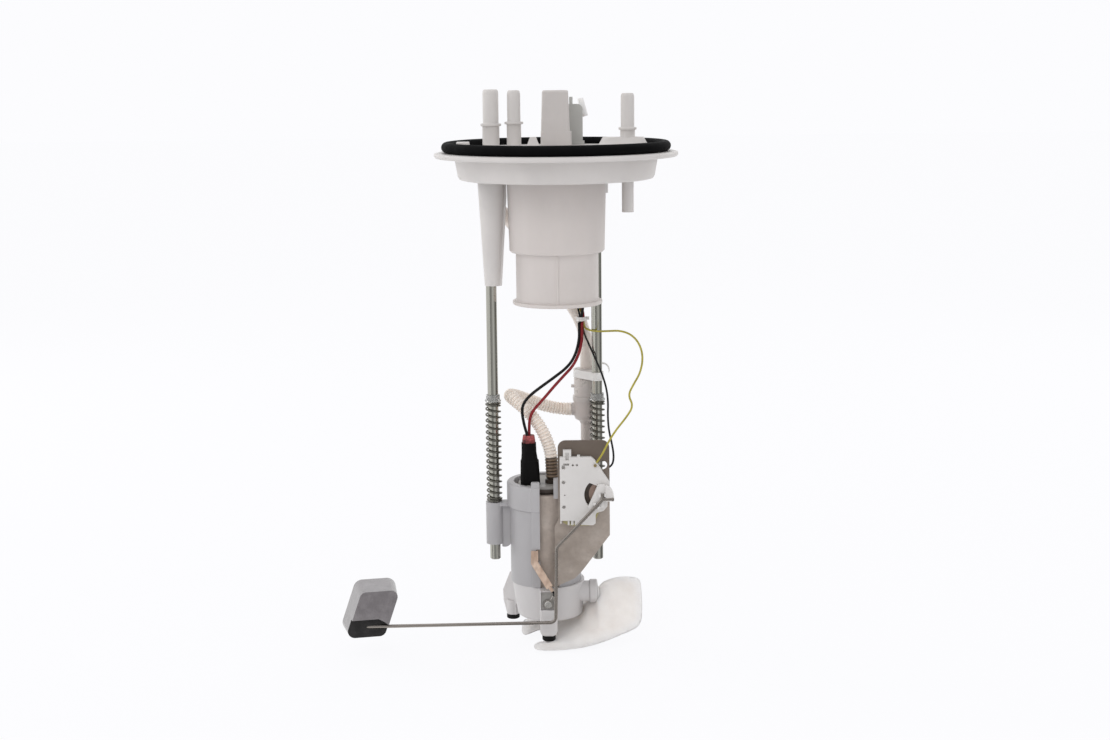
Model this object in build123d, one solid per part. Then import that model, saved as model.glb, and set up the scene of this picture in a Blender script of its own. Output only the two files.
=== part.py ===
"""In-tank fuel pump module: flange on two guide rods, spring-loaded pump carrier, float-arm level sender.

Millimetres. +Z is up, the origin lies on the flange axis in the plane of the tank opening (underside of the rim),
+X runs to the sender side, -Y is the front.
"""
import math
import os

from build123d import *

os.makedirs("parts", exist_ok=True)

# ---------------------------------------------------------------- clearances
FIT = 0.05            # parts that seat on or in each other
SLIDE = 0.08          # radial running clearance of rods, shafts and plungers
AIR = 0.4             # free gap between neighbours that never touch

# ---------------------------------------------------------------- flange
RIM_R = 71.4
RIM_T = 3.0
DECK_R = 61.0
DECK_TOP = 5.0
PLATE_T = 3.2
SKIRT_R = 59.3
SKIRT_LOW_R = 57.7
SKIRT_SIDE = 11.0
SKIRT_H = 13.0
SKIRT_TIP_R = 54.8
SKIRT_WALL = 2.4
RIB_T = 1.8
RIB_H = 7.5
RIBS = 8
SEAL_D = 6.1
CEIL_Z = DECK_TOP - PLATE_T

SUPPLY_X, SUPPLY_Y = -38.8, 24.0
SUPPLY_R = 4.75
SUPPLY_BEAD_R = 6.2
SUPPLY_BEAD_Z = 18.1
SUPPLY_TOP = 39.0
RETURN_X, RETURN_Y = -25.0, 24.0
RETURN_R = 3.97
RETURN_BEAD_R = 5.6
RETURN_BEAD_Z = 19.1
RETURN_TOP = 38.4
LINE_BORE = 2.4
VAPOUR_X, VAPOUR_Y = 42.0, 2.0
VAPOUR_R = 3.97
VAPOUR_BORE = 2.0
VAPOUR_BEAD_R = 5.3
VAPOUR_BEAD_Z = 15.9
VAPOUR_TOP = 36.4
NIPPLE_STEP = 0.35
SPIGOT_R = 3.0
SPIGOT_Z = -16.0
PORT_R = 3.5
PORT_Z = -33.0
PAD_TOP = 11.0
PAD_L = 31.0
PAD_W = 15.0
PAD_SLOPE = 30.0
KEY_X = -54.5
KEY_TOP = 9.0

# ---------------------------------------------------------------- connector and pressure sensor
CONN_X, CONN_Y = -0.2, 38.2
CONN_TOP_W, CONN_TOP_D = 15.7, 11.0
CONN_LEAN = 2.0
CONN_FOOT_OUT = 0.8
CONN_FOOT_TOP = 13.4
CONN_TOP = 38.0
CONN_WALL = 1.8
CONN_SOCKET = 17.0
PIN_T = 0.8
PIN_W = 2.4
PIN_H = 9.0
SENSOR_X, SENSOR_Y = 12.3, 50.2
SENSOR_W = 8.4
SENSOR_D = 8.0
SENSOR_TOP = 29.4
SENSOR_CORNER = 3.4
PRONG_R = 1.1
PRONG_H = 4.4
ELBOW_R = 1.9

# ---------------------------------------------------------------- vent valve
CUP_R = 29.2
CUP_TIP_R = 28.1
CUP_Z = -55.6
CUP_WALL = 2.0
CAGE_R = 24.4
CAGE_WALL = 1.8
CAGE_Z = -86.6
CAGE_LIP_R = 26.6
CAGE_LIP_H = 2.3
CAGE_HEAD_H = 3.0
SEAT_R = 4.6
SEAT_BORE = 2.0
SEAT_Z = -10.0
VENT_LIFT = 8.0
VFLOAT_TOP_Z = -52.0
VSTEM_R = 3.0

# ---------------------------------------------------------------- guide rods and springs
ROD_R = 3.175
LEFT_X, LEFT_Y = -39.3, 0.0
RIGHT_X, RIGHT_Y = 23.7, 24.0
LEFT_ROD_TOP = -28.0
LEFT_ROD_END = -242.7
RIGHT_ROD_TOP = -1.0
RIGHT_ROD_END = -250.0
SOCKET_X, SOCKET_TIP_X = -38.0, -38.2
SOCKET_TOP_R = 9.2
SOCKET_TIP_R = 4.9
SOCKET_Z = -75.5
SOCKET_RIB_W = 5.4
RSOCKET_R = 7.4
RSOCKET_Z = -23.0
SPRING_R = 4.25
SPRING_WIRE_R = 0.6
LEFT_SPRING_TOP = -145.4
RIGHT_SPRING_TOP = -149.6
SPRING_PITCH = 3.5
RETAINER_R = 4.1
RETAINER_H = 4.2
STOP_R = 4.4
STOP_T = 1.0
STOP_POCKET = 3.0

# ---------------------------------------------------------------- pump and carrier
PUMP_X, PUMP_Y = -8.6, 0.0
CAN_R = 19.0
CAN_WALL = 1.0
CAN_TOP = -199.6
CAN_BOTTOM = -257.0
PUMP_CAP_TOP = -194.6
SLEEVE_WALL = 2.0
SLEEVE_BOTTOM = -255.5
COLLAR_TOP = -194.0
COLLAR_H = 15.5
COLLAR_EXTRA = 1.8
SLOT_L = -3.3
SLOT_R = 8.0
RAIL_W = 5.0
RAIL_RISE = 3.2
BUSH_R = 5.3
BUSH_TOP = -207.0
BUSH_BOTTOM = -232.8
WEB_T = 4.0
WEB_LOBE_Z = -235.0
LOBE_R = 4.3

LCUP_TOP_X, LCUP_TOP_R = -7.3, 21.9
LCUP_TIP_X, LCUP_TIP_R = -6.2, 19.8
LCUP_BOTTOM = -277.0
LCUP_WALL = 1.8
LEG_X = -7.2
LEG_W = 10.4
LEG_FRONT_Y = -28.4
LEG_BOTTOM = -283.6
FOOT_R = 4.0
FOOT_H = 3.0
REAR_LEG_L = (-29.5, 20.0)
REAR_LEG_R = (9.0, 27.0)
PORT_X0 = 11.0
PORT_X1 = 17.6
PORT_CZ = -262.3
PORT_CY = -5.0
INLET_R = 6.3
INLET_COLLAR_R = 7.2
INLET_COLLAR_L = 4.6
GTAB_X, GTAB_Z = -7.4, -263.4
SCREW_R = 1.4
TAB_T = 0.8
STRAP_W = 4.2
STRAP_T = 0.7
STRAP_TOP_Z = -232.0

# ---------------------------------------------------------------- motor
SHAFT_R = 1.6
ARM_R = 10.5
ARM_TOP = -212.0
ARM_BOTTOM = -243.0
MAGNET_T = 5.0
IMPELLER_R = 13.5
IMPELLER_T = 2.6
IMPELLER_VANES = 18
ENDCAP_T = 7.5

# ---------------------------------------------------------------- outlet, boot
BARB_DX, BARB_DY = 4.2, -5.0
BARB_R = 2.9
BARB_TOP = -180.5
BARBS = 4
HOSE_R = 4.0
HOSE_BORE = 3.05
BOOT_DX, BOOT_DY = -9.2, -8.4
BOOT_TOP = -169.5
BOOT_STEP_Z = -180.4
BOOT_TOP_W, BOOT_BASE_W = 8.7, 11.8
BOOT_D = 8.2
GROMMET_R = 3.9
GROMMET_H = 4.6

# ---------------------------------------------------------------- regulator
REG_X, REG_Y = 17.6, 37.0
REG_R = 8.2
REG_TOP = -132.0
REG_STEP = -152.2
REG_BOTTOM = -165.2
REG_CAP_R = 7.9
REG_NECK_R = 7.2
PEG_Z = -143.2
REG_TAIL_R = 3.9
REG_TAIL_Z = -182.0
REG_OUT_Z = -157.7
REG_OUT_L = 15.0
PIPE_R = 3.9
PIPE_BORE = 2.9
BAND_Z0 = -137.3
BAND_H = 4.9
BAND_T = 1.0
EAR_R = 4.3
EAR_T = 1.6
EAR_DX, EAR_DY = 3.7, 6.2

# ---------------------------------------------------------------- sender
PLATE_GAP = 2.7
BRACKET_T = 1.2
CARD_T = 0.7
HOUSING_T = 3.4
PIVOT_X, PIVOT_Z = 24.7, -196.6
HUB_R = 7.0
HUB_T = 2.8
HUB_LIP = 1.3
HUB_FLAT = 4.7
HUB_FLAT_TILT = 24.0
WIPER_TILT = 40.0
JOURNAL_R = 2.6
ISLAND_R = 4.0
POCKET_R = 10.2
TERM_X, TERM_Z = 21.0, -178.8
PIN_R = 0.65
ARM_WIRE_R = 1.0
ARM_BEND = 3.4
FLOAT_W = 22.8
FLOAT_H = 28.0
FLOAT_D = 22.0
FLOAT_LEAN = 19.0
FLOAT_YAW = 12.0
FLOAT_DRAFT = 4.0
FLOAT_CORNER = 4.0
FLOAT_SEAT = 5.9
FLOAT_STEP = 3.0
FLOAT_EDGE = 5.3

# ---------------------------------------------------------------- wires
POWER_D = 1.8
SENDER_D = 1.2
LOOM_R = 2.2
LOOM_X, LOOM_Y = 14.3, 29.6
LOOM_END = -102.6

# ---------------------------------------------------------------- derived places
SLEEVE_IN = CAN_R + FIT
SLEEVE_R = SLEEVE_IN + SLEEVE_WALL + 0.3
COLLAR_R = SLEEVE_R + COLLAR_EXTRA
PLATE_BACK_Y = PUMP_Y - SLEEVE_R - PLATE_GAP
PLATE_FRONT_Y = PLATE_BACK_Y - BRACKET_T
CARD_FRONT_Y = PLATE_FRONT_Y - CARD_T
HOUSING_FRONT_Y = CARD_FRONT_Y - HOUSING_T
HUB_BACK_Y = HOUSING_FRONT_Y - FIT
HUB_FRONT_Y = HUB_BACK_Y - HUB_T
ARM_Y = HUB_FRONT_Y - ARM_WIRE_R - FIT
BARB_X = PUMP_X + BARB_DX
BARB_Y = PUMP_Y + BARB_DY
BOOT_X = PUMP_X + BOOT_DX
BOOT_Y = PUMP_Y + BOOT_DY
GROMMET_X, GROMMET_Y = BOOT_X - 0.3, BOOT_Y + 1.6
RAIL_TOP = COLLAR_TOP + RAIL_RISE


def export(node, shape):
    export_step(shape, os.path.join("parts", node + ".step"))


def rod(x, y, z0, z1, r):
    """Plain cylinder between two heights."""
    return Pos(x, y, min(z0, z1)) * Cylinder(r, abs(z1 - z0), align=(Align.CENTER, Align.CENTER, Align.MIN))


def block(x0, x1, y0, y1, z0, z1):
    """Box from its limits."""
    size = (x1 - x0, y1 - y0, z1 - z0)
    return Pos((x0 + x1) / 2, (y0 + y1) / 2, (z0 + z1) / 2) * Box(*size)


def turned(points, x=0.0, y=0.0):
    """Solid of revolution about a vertical axis from an (r, z) outline."""
    outline = make_face(Polyline(*[(r, 0, z) for r, z in points], close=True))
    return Pos(x, y, 0) * revolve(outline, Axis.Z)


def tube_along(points, radius, bend, bore=0.0):
    """Round tube along straight runs joined by tangent arcs."""
    path = FilletPolyline(*points, radius=bend)
    start = Plane(origin=path @ 0, z_dir=path % 0)
    section = start * Circle(radius)
    if bore > 0:
        section = section - start * Circle(bore)
    return sweep(section, path=path)


def cord_bends(points):
    """Largest tangent arcs that each corner of a cord's route has room for."""
    bends = []
    for before, here, after in zip(points, points[1:], points[2:]):
        run_in = Vector(*here) - Vector(*before)
        run_out = Vector(*after) - Vector(*here)
        turn = math.radians(run_in.get_angle(run_out))
        bends.append(0.45 * min(run_in.length, run_out.length) / math.tan(turn / 2))
    return bends


def cord(node, points, diameter, bore=0.0):
    """Free cord in its own node; prints its bends, length and volume check."""
    bends = cord_bends(points)
    path = FilletPolyline(*points, radius=bends)
    start = Plane(origin=path @ 0, z_dir=path % 0)
    section = start * Circle(diameter / 2)
    if bore > 0:
        section = section - start * Circle(bore)
    body = sweep(section, path=path)
    area = math.pi * (diameter ** 2 / 4 - bore ** 2)
    print(node, "length %.1f" % path.length, "volume ratio %.4f" % (body.volume / area / path.length))
    print("   radii", " ".join("%.1f" % b for b in bends))
    export(node, body)


# ================================================================ flange group
def nipple(x, y, r, bore, top, bead_z, bead_r):
    """Quick-connect tube end: stouter root, retaining bead and rounded tip."""
    root = r + NIPPLE_STEP
    outline = [
        (bore, CEIL_Z),
        (root, CEIL_Z),
        (root, bead_z - 0.9),
        (bead_r, bead_z - 0.6),
        (bead_r, bead_z + 0.6),
        (r, bead_z + 0.9),
        (r, top - 2.2),
        (r - 0.3, top - 0.7),
        (r - 0.9, top),
        (bore, top),
    ]
    return turned(outline, x, y)


def spigot(x, y, r, bore, tip):
    """Hose spigot under the plate with one barb."""
    outline = [
        (bore, CEIL_Z),
        (r + 1.6, CEIL_Z),
        (r + 1.6, tip * 0.35),
        (r, tip * 0.45),
        (r, tip),
        (bore, tip),
    ]
    return turned(outline, x, y)


def flange_plate():
    inner = SKIRT_R - SKIRT_WALL
    outline = [
        (0, CEIL_Z),
        (inner, CEIL_Z),
        (SKIRT_LOW_R - SKIRT_WALL, -SKIRT_SIDE),
        (SKIRT_TIP_R - SKIRT_WALL, -SKIRT_H),
        (SKIRT_TIP_R, -SKIRT_H),
        ((SKIRT_LOW_R + SKIRT_TIP_R) / 2 + 0.6, -SKIRT_H + 0.5),
        (SKIRT_LOW_R, -SKIRT_SIDE),
        (SKIRT_R, -2.0),
        (SKIRT_R, 0),
        (RIM_R - 1.0, 0),
        (RIM_R, 0.9),
        (RIM_R, RIM_T - 0.5),
        (RIM_R - 2.0, RIM_T),
        (DECK_R, RIM_T),
        (DECK_R, DECK_TOP),
        (0, DECK_TOP),
    ]
    body = turned(outline)
    for k in range(RIBS):
        rib = block(CUP_R + 2, inner + 0.5, -RIB_T / 2, RIB_T / 2, -RIB_H, CEIL_Z)
        body += Rot(0, 0, 360 / RIBS * (k + 0.5)) * rib

    # moulded pads on the deck
    slot = Pos(VAPOUR_X - 2.6, VAPOUR_Y, DECK_TOP) * SlotOverall(PAD_L, PAD_W)
    body += extrude(slot, PAD_TOP - DECK_TOP, taper=PAD_SLOPE)
    key = Pos(KEY_X, 0, DECK_TOP) * extrude(RectangleRounded(8.5, 13, 2), KEY_TOP - DECK_TOP, taper=10)
    body += key
    post = Pos(-13.6, 16, DECK_TOP) * extrude(Rectangle(8, 5), PAD_TOP - DECK_TOP, taper=20)
    body += post

    # line fittings
    for x, y, r, bead_r, bead_z, top in (
        (SUPPLY_X, SUPPLY_Y, SUPPLY_R, SUPPLY_BEAD_R, SUPPLY_BEAD_Z, SUPPLY_TOP),
        (RETURN_X, RETURN_Y, RETURN_R, RETURN_BEAD_R, RETURN_BEAD_Z, RETURN_TOP),
    ):
        body += rod(x, y, CEIL_Z - 2.0, DECK_TOP, SPIGOT_R + 1.6)
        body -= rod(x, y, CEIL_Z - 2.0, DECK_TOP, LINE_BORE)
        body += nipple(x, y, r, LINE_BORE, top, bead_z, bead_r)
        body += spigot(x, y, SPIGOT_R, LINE_BORE, SPIGOT_Z)
    body -= rod(VAPOUR_X, VAPOUR_Y, CEIL_Z, PAD_TOP, VAPOUR_BORE)
    body += nipple(VAPOUR_X, VAPOUR_Y, VAPOUR_R, VAPOUR_BORE, VAPOUR_TOP, VAPOUR_BEAD_Z, VAPOUR_BEAD_R)
    body += spigot(VAPOUR_X, VAPOUR_Y, PORT_R, VAPOUR_BORE, PORT_Z)

    # rod sockets, the left one with a rib on its inner side
    top = Plane.XY.offset(CEIL_Z) * Pos(SOCKET_X, LEFT_Y) * Circle(SOCKET_TOP_R)
    tip = Plane.XY.offset(SOCKET_Z) * Pos(SOCKET_TIP_X, LEFT_Y) * Circle(SOCKET_TIP_R)
    body += loft([top, tip])
    rib_top = Plane.XY.offset(CEIL_Z) * Pos(SOCKET_X + SOCKET_TOP_R - 2.0, LEFT_Y) * Rectangle(6.0, SOCKET_RIB_W)
    rib_tip = Plane.XY.offset(SOCKET_Z) * Pos(SOCKET_TIP_X + SOCKET_TIP_R - 0.6, LEFT_Y) * Rectangle(2.0, SOCKET_RIB_W)
    body += loft([rib_top, rib_tip])
    body += rod(RIGHT_X, RIGHT_Y, RSOCKET_Z, CEIL_Z, RSOCKET_R)
    body -= rod(0, 0, SOCKET_Z - 1, CEIL_Z, CUP_R + AIR)
    body -= rod(LEFT_X, LEFT_Y, SOCKET_Z - 1, LEFT_ROD_TOP, ROD_R + FIT)
    body -= rod(RIGHT_X, RIGHT_Y, RSOCKET_Z, RIGHT_ROD_TOP, ROD_R + FIT)

    # opening under the connector
    hole = Rectangle(CONN_TOP_W - 2 * CONN_WALL, CONN_TOP_D - 2 * CONN_WALL)
    body -= Pos(CONN_X, CONN_Y, CEIL_Z) * extrude(hole, DECK_TOP - CEIL_Z)
    export("flange_plate", body)


def seal_ring():
    r = DECK_R + FIT + SEAL_D / 2
    ring = Pos(0, 0, RIM_T + FIT + SEAL_D / 2) * Torus(r, SEAL_D / 2)
    export("seal_ring", ring)


def connector_shell():
    """Tall upward-facing socket with leaning sides and a wider foot, seated over the deck opening."""
    spread = 2 * (CONN_TOP - DECK_TOP) * math.tan(math.radians(CONN_LEAN))
    base_w = CONN_TOP_W + spread
    base_d = CONN_TOP_D + spread
    seat = Pos(CONN_X, CONN_Y, DECK_TOP)
    tower = seat * extrude(RectangleRounded(base_w, base_d, 2.4), CONN_TOP - DECK_TOP, taper=CONN_LEAN)
    tower = fillet(tower.faces().sort_by(Axis.Z)[-1].edges(), 1.1)
    out = 2 * CONN_FOOT_OUT
    foot = Pos(CONN_FOOT_OUT / 2, 0) * seat * extrude(
        RectangleRounded(base_w + out / 2, base_d + out / 2, 2.0), CONN_FOOT_TOP - DECK_TOP, taper=CONN_LEAN / 2
    )
    body = tower + foot
    socket = RectangleRounded(CONN_TOP_W - 2 * CONN_WALL, CONN_TOP_D - 2 * CONN_WALL, 1.2)
    body -= Pos(CONN_X, CONN_Y, CONN_TOP - CONN_SOCKET) * extrude(socket, CONN_SOCKET + 1)
    for x, y in connector_pins():
        body -= block(x - PIN_W / 2, x + PIN_W / 2, y - PIN_T / 2, y + PIN_T / 2, DECK_TOP, CONN_TOP - CONN_SOCKET)
    latch = Pos(CONN_X, CONN_Y + CONN_TOP_D / 2 + 0.4, CONN_TOP - 8) * Box(4.0, 1.6, 5.0)
    export("connector_shell", body + latch)


def connector_pins():
    pitch_x = (CONN_TOP_W - 2 * CONN_WALL) / 3
    pitch_y = (CONN_TOP_D - 2 * CONN_WALL) / 2
    return [(CONN_X + i * pitch_x, CONN_Y + j * pitch_y / 2) for i in (-1, 0, 1) for j in (-1, 1)]


def connector_terminals():
    """Six blades, moulded through the tower floor."""
    blades = []
    for x, y in connector_pins():
        top = CONN_TOP - CONN_SOCKET + PIN_H
        w = PIN_W / 2 - FIT
        t = PIN_T / 2 - FIT
        blade = block(x - w, x + w, y - t, y + t, CEIL_Z - 6, top)
        blades.append(chamfer(blade.faces().sort_by(Axis.Z)[-1].edges(), 0.25))
    export("connector_terminals", Compound(children=blades))


def pressure_sensor():
    """Small pressure sensor behind the connector, with its pin guard."""
    height = SENSOR_TOP - DECK_TOP
    body = Pos(SENSOR_X, SENSOR_Y, DECK_TOP + FIT) * extrude(Rectangle(SENSOR_W, SENSOR_D), height)
    corner = body.edges().filter_by(Axis.Y).group_by(Axis.Z)[-1].sort_by(Axis.X)[-1]
    body = fillet(corner, SENSOR_CORNER)
    guard_x = SENSOR_X - SENSOR_W / 2 + PRONG_R + 0.2
    guard_y = SENSOR_Y - SENSOR_D / 2 + PRONG_R + 0.4
    body += rod(guard_x, guard_y, SENSOR_TOP - 1, SENSOR_TOP + PRONG_H, PRONG_R)
    foot = Pos(SENSOR_X + 0.5, SENSOR_Y, DECK_TOP + FIT) * extrude(Rectangle(SENSOR_W + 1.0, SENSOR_D + 1.0), 2.0)
    export("pressure_sensor", body + foot)


def sensor_elbow():
    """Reference-air cap: a stub on the sensor's back with a slanted vent tube."""
    back = SENSOR_Y + SENSOR_D / 2 + FIT
    y = back + ELBOW_R + 0.4
    low = Vector(SENSOR_X + 5.9, y, SENSOR_TOP - 7.6)
    high = Vector(SENSOR_X + 3.0, y, SENSOR_TOP + 3.4)
    run = high - low
    lean = Plane(origin=low, z_dir=run)
    tube = lean * Cylinder(ELBOW_R, run.length, align=(Align.CENTER, Align.CENTER, Align.MIN))
    stub_x = SENSOR_X + SENSOR_W / 2 - 0.9
    stub = rod_y(stub_x, SENSOR_TOP - 6.0, back, y, 1.4)
    bore = lean * Pos(0, 0, 4.0) * Cylinder(ELBOW_R - 0.9, run.length, align=(Align.CENTER, Align.CENTER, Align.MIN))
    export("sensor_elbow", tube + stub - bore)


def vent_valve_body():
    outline = [
        (SEAT_BORE, CEIL_Z - FIT),
        (CUP_R, CEIL_Z - FIT),
        (CUP_R, -SKIRT_H),
        (CUP_TIP_R, CUP_Z + 1.0),
        (CUP_TIP_R - 1.0, CUP_Z),
        (CAGE_R + FIT, CUP_Z),
        (CAGE_R + FIT, CUP_Z + 2.4),
        (CUP_TIP_R - CUP_WALL, CUP_Z + 2.4),
        (CUP_R - CUP_WALL, -SKIRT_H),
        (CUP_R - CUP_WALL, CEIL_Z - FIT - CUP_WALL),
        (SEAT_R, CEIL_Z - FIT - CUP_WALL),
        (SEAT_R - 1.2, SEAT_Z),
        (SEAT_BORE, SEAT_Z),
    ]
    body = turned(outline)
    for k in range(3):
        lug = Rot(0, 0, 120 * k + 30) * block(SEAT_R - 0.5, CUP_R - CUP_WALL + 0.3, -0.9, 0.9, -7.0, CEIL_Z - 1.5)
        body += lug
    export("vent_valve_body", body)


def vent_valve_cage():
    """Lower cup: slotted floor, outer lip and a snap head behind the upper cup's edge."""
    snap_z = CUP_Z + 2.4 + FIT
    outline = [
        (0, CAGE_Z),
        (CAGE_LIP_R - 0.6, CAGE_Z),
        (CAGE_LIP_R, CAGE_Z + 0.6),
        (CAGE_LIP_R, CAGE_Z + CAGE_LIP_H - 0.3),
        (CAGE_R, CAGE_Z + CAGE_LIP_H),
        (CAGE_R, snap_z),
        (CAGE_R + 1.3, snap_z),
        (CAGE_R, snap_z + CAGE_HEAD_H),
        (CAGE_R - CAGE_WALL, snap_z + CAGE_HEAD_H),
        (CAGE_R - CAGE_WALL, CAGE_Z + CAGE_WALL),
        (0, CAGE_Z + CAGE_WALL),
    ]
    body = turned(outline)
    for k in range(6):
        window = Rot(0, 0, 60 * k) * (Pos(13.5, 0, CAGE_Z - 1) * extrude(SlotOverall(12, 4.5), 6))
        body -= window
    ridge = block(-0.5, 0.5, -CAGE_R - 0.45, -CAGE_R + 0.5, CAGE_Z + CAGE_LIP_H - 0.2, CUP_Z - AIR)
    body += ridge
    export("vent_valve_cage", body)


def vent_float():
    """Float and needle that close the vent when fuel rises."""
    r = CAGE_R - CAGE_WALL - 0.4
    bottom = CAGE_Z + CAGE_WALL + FIT
    tip = SEAT_Z - VENT_LIFT
    outline = [
        (0, bottom),
        (r - 1.5, bottom),
        (r, bottom + 1.5),
        (r, VFLOAT_TOP_Z - 2.0),
        (r - 2.0, VFLOAT_TOP_Z),
        (VSTEM_R, VFLOAT_TOP_Z),
        (VSTEM_R, tip - 3.0),
        (0.8, tip - FIT),
        (0, tip - FIT),
    ]
    export("vent_float", turned(outline))


def guide_rods():
    groove = STOP_R - 1.9
    for node, x, y, top, end in (
        ("left_guide_rod", LEFT_X, LEFT_Y, LEFT_ROD_TOP, LEFT_ROD_END),
        ("right_guide_rod", RIGHT_X, RIGHT_Y, RIGHT_ROD_TOP, RIGHT_ROD_END),
    ):
        body = rod(x, y, end, top - FIT, ROD_R)
        body = chamfer(body.edges().filter_by(GeomType.CIRCLE), 0.5)
        z = BUSH_BOTTOM + STOP_POCKET - STOP_T - FIT
        body -= rod(x, y, z - FIT, z + STOP_T + FIT, ROD_R + 1) - rod(x, y, z - 1, z + STOP_T + 1, groove)
        export(node, body)


def rod_stop_rings():
    """Retaining rings in the rod grooves, hidden in the counterbored bushings."""
    groove = STOP_R - 1.9
    z = BUSH_BOTTOM + STOP_POCKET - STOP_T - FIT
    rings = []
    for x, y in ((LEFT_X, LEFT_Y), (RIGHT_X, RIGHT_Y)):
        ring = rod(x, y, z, z + STOP_T, STOP_R) - rod(x, y, z - 1, z + STOP_T + 1, groove + FIT)
        rings.append(ring - block(x - groove + 0.4, x + groove - 0.4, y, y + STOP_R + 1, z - 1, z + STOP_T + 1))
    export("rod_stop_rings", Compound(children=rings))


def coil(node, x, y, top, bottom):
    """Left-handed open-coil compression spring."""
    height = top - bottom - 2 * SPRING_WIRE_R
    turns = round(height / SPRING_PITCH)
    helix = Pos(x, y, bottom + SPRING_WIRE_R) * Helix(height / turns, height, SPRING_R, lefthand=True)
    start = Plane(origin=helix @ 0, z_dir=helix % 0)
    body = sweep(start * RegularPolygon(SPRING_WIRE_R * 1.06, 6), path=helix, is_frenet=True)
    export(node, body)


def springs():
    coil("left_spring", LEFT_X, LEFT_Y, LEFT_SPRING_TOP - AIR / 2, BUSH_TOP + AIR / 2)
    coil("right_spring", RIGHT_X, RIGHT_Y, RIGHT_SPRING_TOP - AIR / 2, BUSH_TOP + AIR / 2)


def spring_retainers():
    """Push-on collars that the springs bear against."""
    for node, x, y, z in (
        ("left_spring_retainer", LEFT_X, LEFT_Y, LEFT_SPRING_TOP),
        ("right_spring_retainer", RIGHT_X, RIGHT_Y, RIGHT_SPRING_TOP),
    ):
        body = rod(x, y, z, z + RETAINER_H, RETAINER_R)
        body += rod(x, y, z, z + 1.0, SPRING_R + SPRING_WIRE_R)
        body -= rod(x, y, z - 1, z + RETAINER_H + 1, ROD_R + FIT)
        export(node, body)


# ================================================================ regulator group
def regulator_body():
    """Lower regulator housing with its side outlet and drain tail."""
    outline = [
        (0, REG_STEP),
        (REG_R, REG_STEP),
        (REG_R, REG_BOTTOM + 4.0),
        (REG_R - 1.0, REG_BOTTOM + 1.5),
        (REG_TAIL_R + 0.8, REG_BOTTOM),
        (REG_TAIL_R, REG_BOTTOM - 2.0),
        (REG_TAIL_R, REG_TAIL_Z),
        (1.8, REG_TAIL_Z),
        (1.8, REG_STEP - 6.0),
        (0, REG_STEP - 6.0),
    ]
    body = turned(outline, REG_X, REG_Y)
    side = Pos(REG_X, REG_Y, REG_OUT_Z) * Rot(0, -90, 0)
    ends = (Align.CENTER, Align.CENTER, Align.MIN)
    body += side * Cylinder(BARB_R, REG_OUT_L, align=ends)
    body += side * Cylinder(HOSE_R, REG_R + 1.2, align=ends)
    export("regulator_body", body)


def regulator_cap():
    """Upper housing: necked top for the band, the pipe socket and a locating peg."""
    shoulder = BAND_Z0 - FIT
    outline = [
        (PIPE_R + FIT, REG_TOP),
        (REG_NECK_R - 0.8, REG_TOP),
        (REG_NECK_R, REG_TOP - 0.8),
        (REG_NECK_R, shoulder),
        (REG_CAP_R - 0.8, shoulder),
        (REG_CAP_R, shoulder - 1.0),
        (REG_CAP_R, REG_STEP + 3.0),
        (REG_R + 0.5, REG_STEP + 3.0),
        (REG_R + 0.5, REG_STEP),
        (0, REG_STEP),
        (0, REG_TOP - 10.0),
        (PIPE_R + FIT, REG_TOP - 10.0),
    ]
    body = turned(outline, REG_X, REG_Y)
    peg = Pos(REG_X - REG_CAP_R + 0.5, REG_Y, PEG_Z) * Rot(0, -90, 0)
    peg *= Cylinder(1.0, 2.2, align=(Align.CENTER, Align.CENTER, Align.MIN))
    export("regulator_cap", body + peg)


def regulator_clip():
    """Strap that ties the regulator's neck to the right guide rod, with an open ear behind the rod."""
    neck = Pos(REG_X, REG_Y)
    post = Pos(RIGHT_X, RIGHT_Y)
    inner_r = REG_NECK_R + FIT
    rings = (neck * Circle(inner_r + BAND_T)).edges() + (post * Circle(ROD_R + FIT + BAND_T)).edges()
    strap = make_hull(rings) - neck * Circle(inner_r)
    body = extrude(Pos(0, 0, BAND_Z0) * strap, BAND_H)
    ear = Pos(RIGHT_X + EAR_DX, RIGHT_Y + EAR_DY, BAND_Z0 + BAND_H + 0.6) * Rot(90, 0, 0)
    ring = Cylinder(EAR_R, EAR_T) - Cylinder(EAR_R - 1.0, EAR_T + 1)
    ring -= Pos(EAR_R / 2, -EAR_R / 2, 0) * Box(EAR_R - 1.4, EAR_R, EAR_T + 1)
    body += ear * ring
    body -= rod(RIGHT_X, RIGHT_Y, BAND_Z0 - 3, BAND_Z0 + BAND_H + EAR_R + 1, ROD_R + FIT)
    body -= rod(REG_X, REG_Y, BAND_Z0 - 3, BAND_Z0 + BAND_H + EAR_R + 1, inner_r)
    export("regulator_clip", body)


def feed_pipe():
    """Rigid line from the supply spigot down behind the vent valve to the regulator."""
    x, y = SUPPLY_X, SUPPLY_Y
    points = [
        (x, y, SPIGOT_Z - AIR / 2),
        (x, y, -27.0),
        (x + 10.0, y + 13.0, -40.0),
        (x + 24.0, REG_Y + 2.0, -58.0),
        (x + 40.0, REG_Y + 2.0, -80.0),
        (REG_X - 3.6, REG_Y + 1.0, -102.0),
        (REG_X, REG_Y, -114.0),
        (REG_X, REG_Y, REG_TOP - 10.0 + FIT),
    ]
    bends = [0.8 * b for b in cord_bends(points)]
    path = FilletPolyline(*points, radius=bends)
    start = Plane(origin=path @ 0, z_dir=path % 0)
    body = sweep(start * Circle(PIPE_R) - start * Circle(PIPE_BORE), path=path)
    print("feed_pipe length %.1f" % path.length, "radii", " ".join("%.1f" % b for b in bends))
    export("feed_pipe", body)


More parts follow.
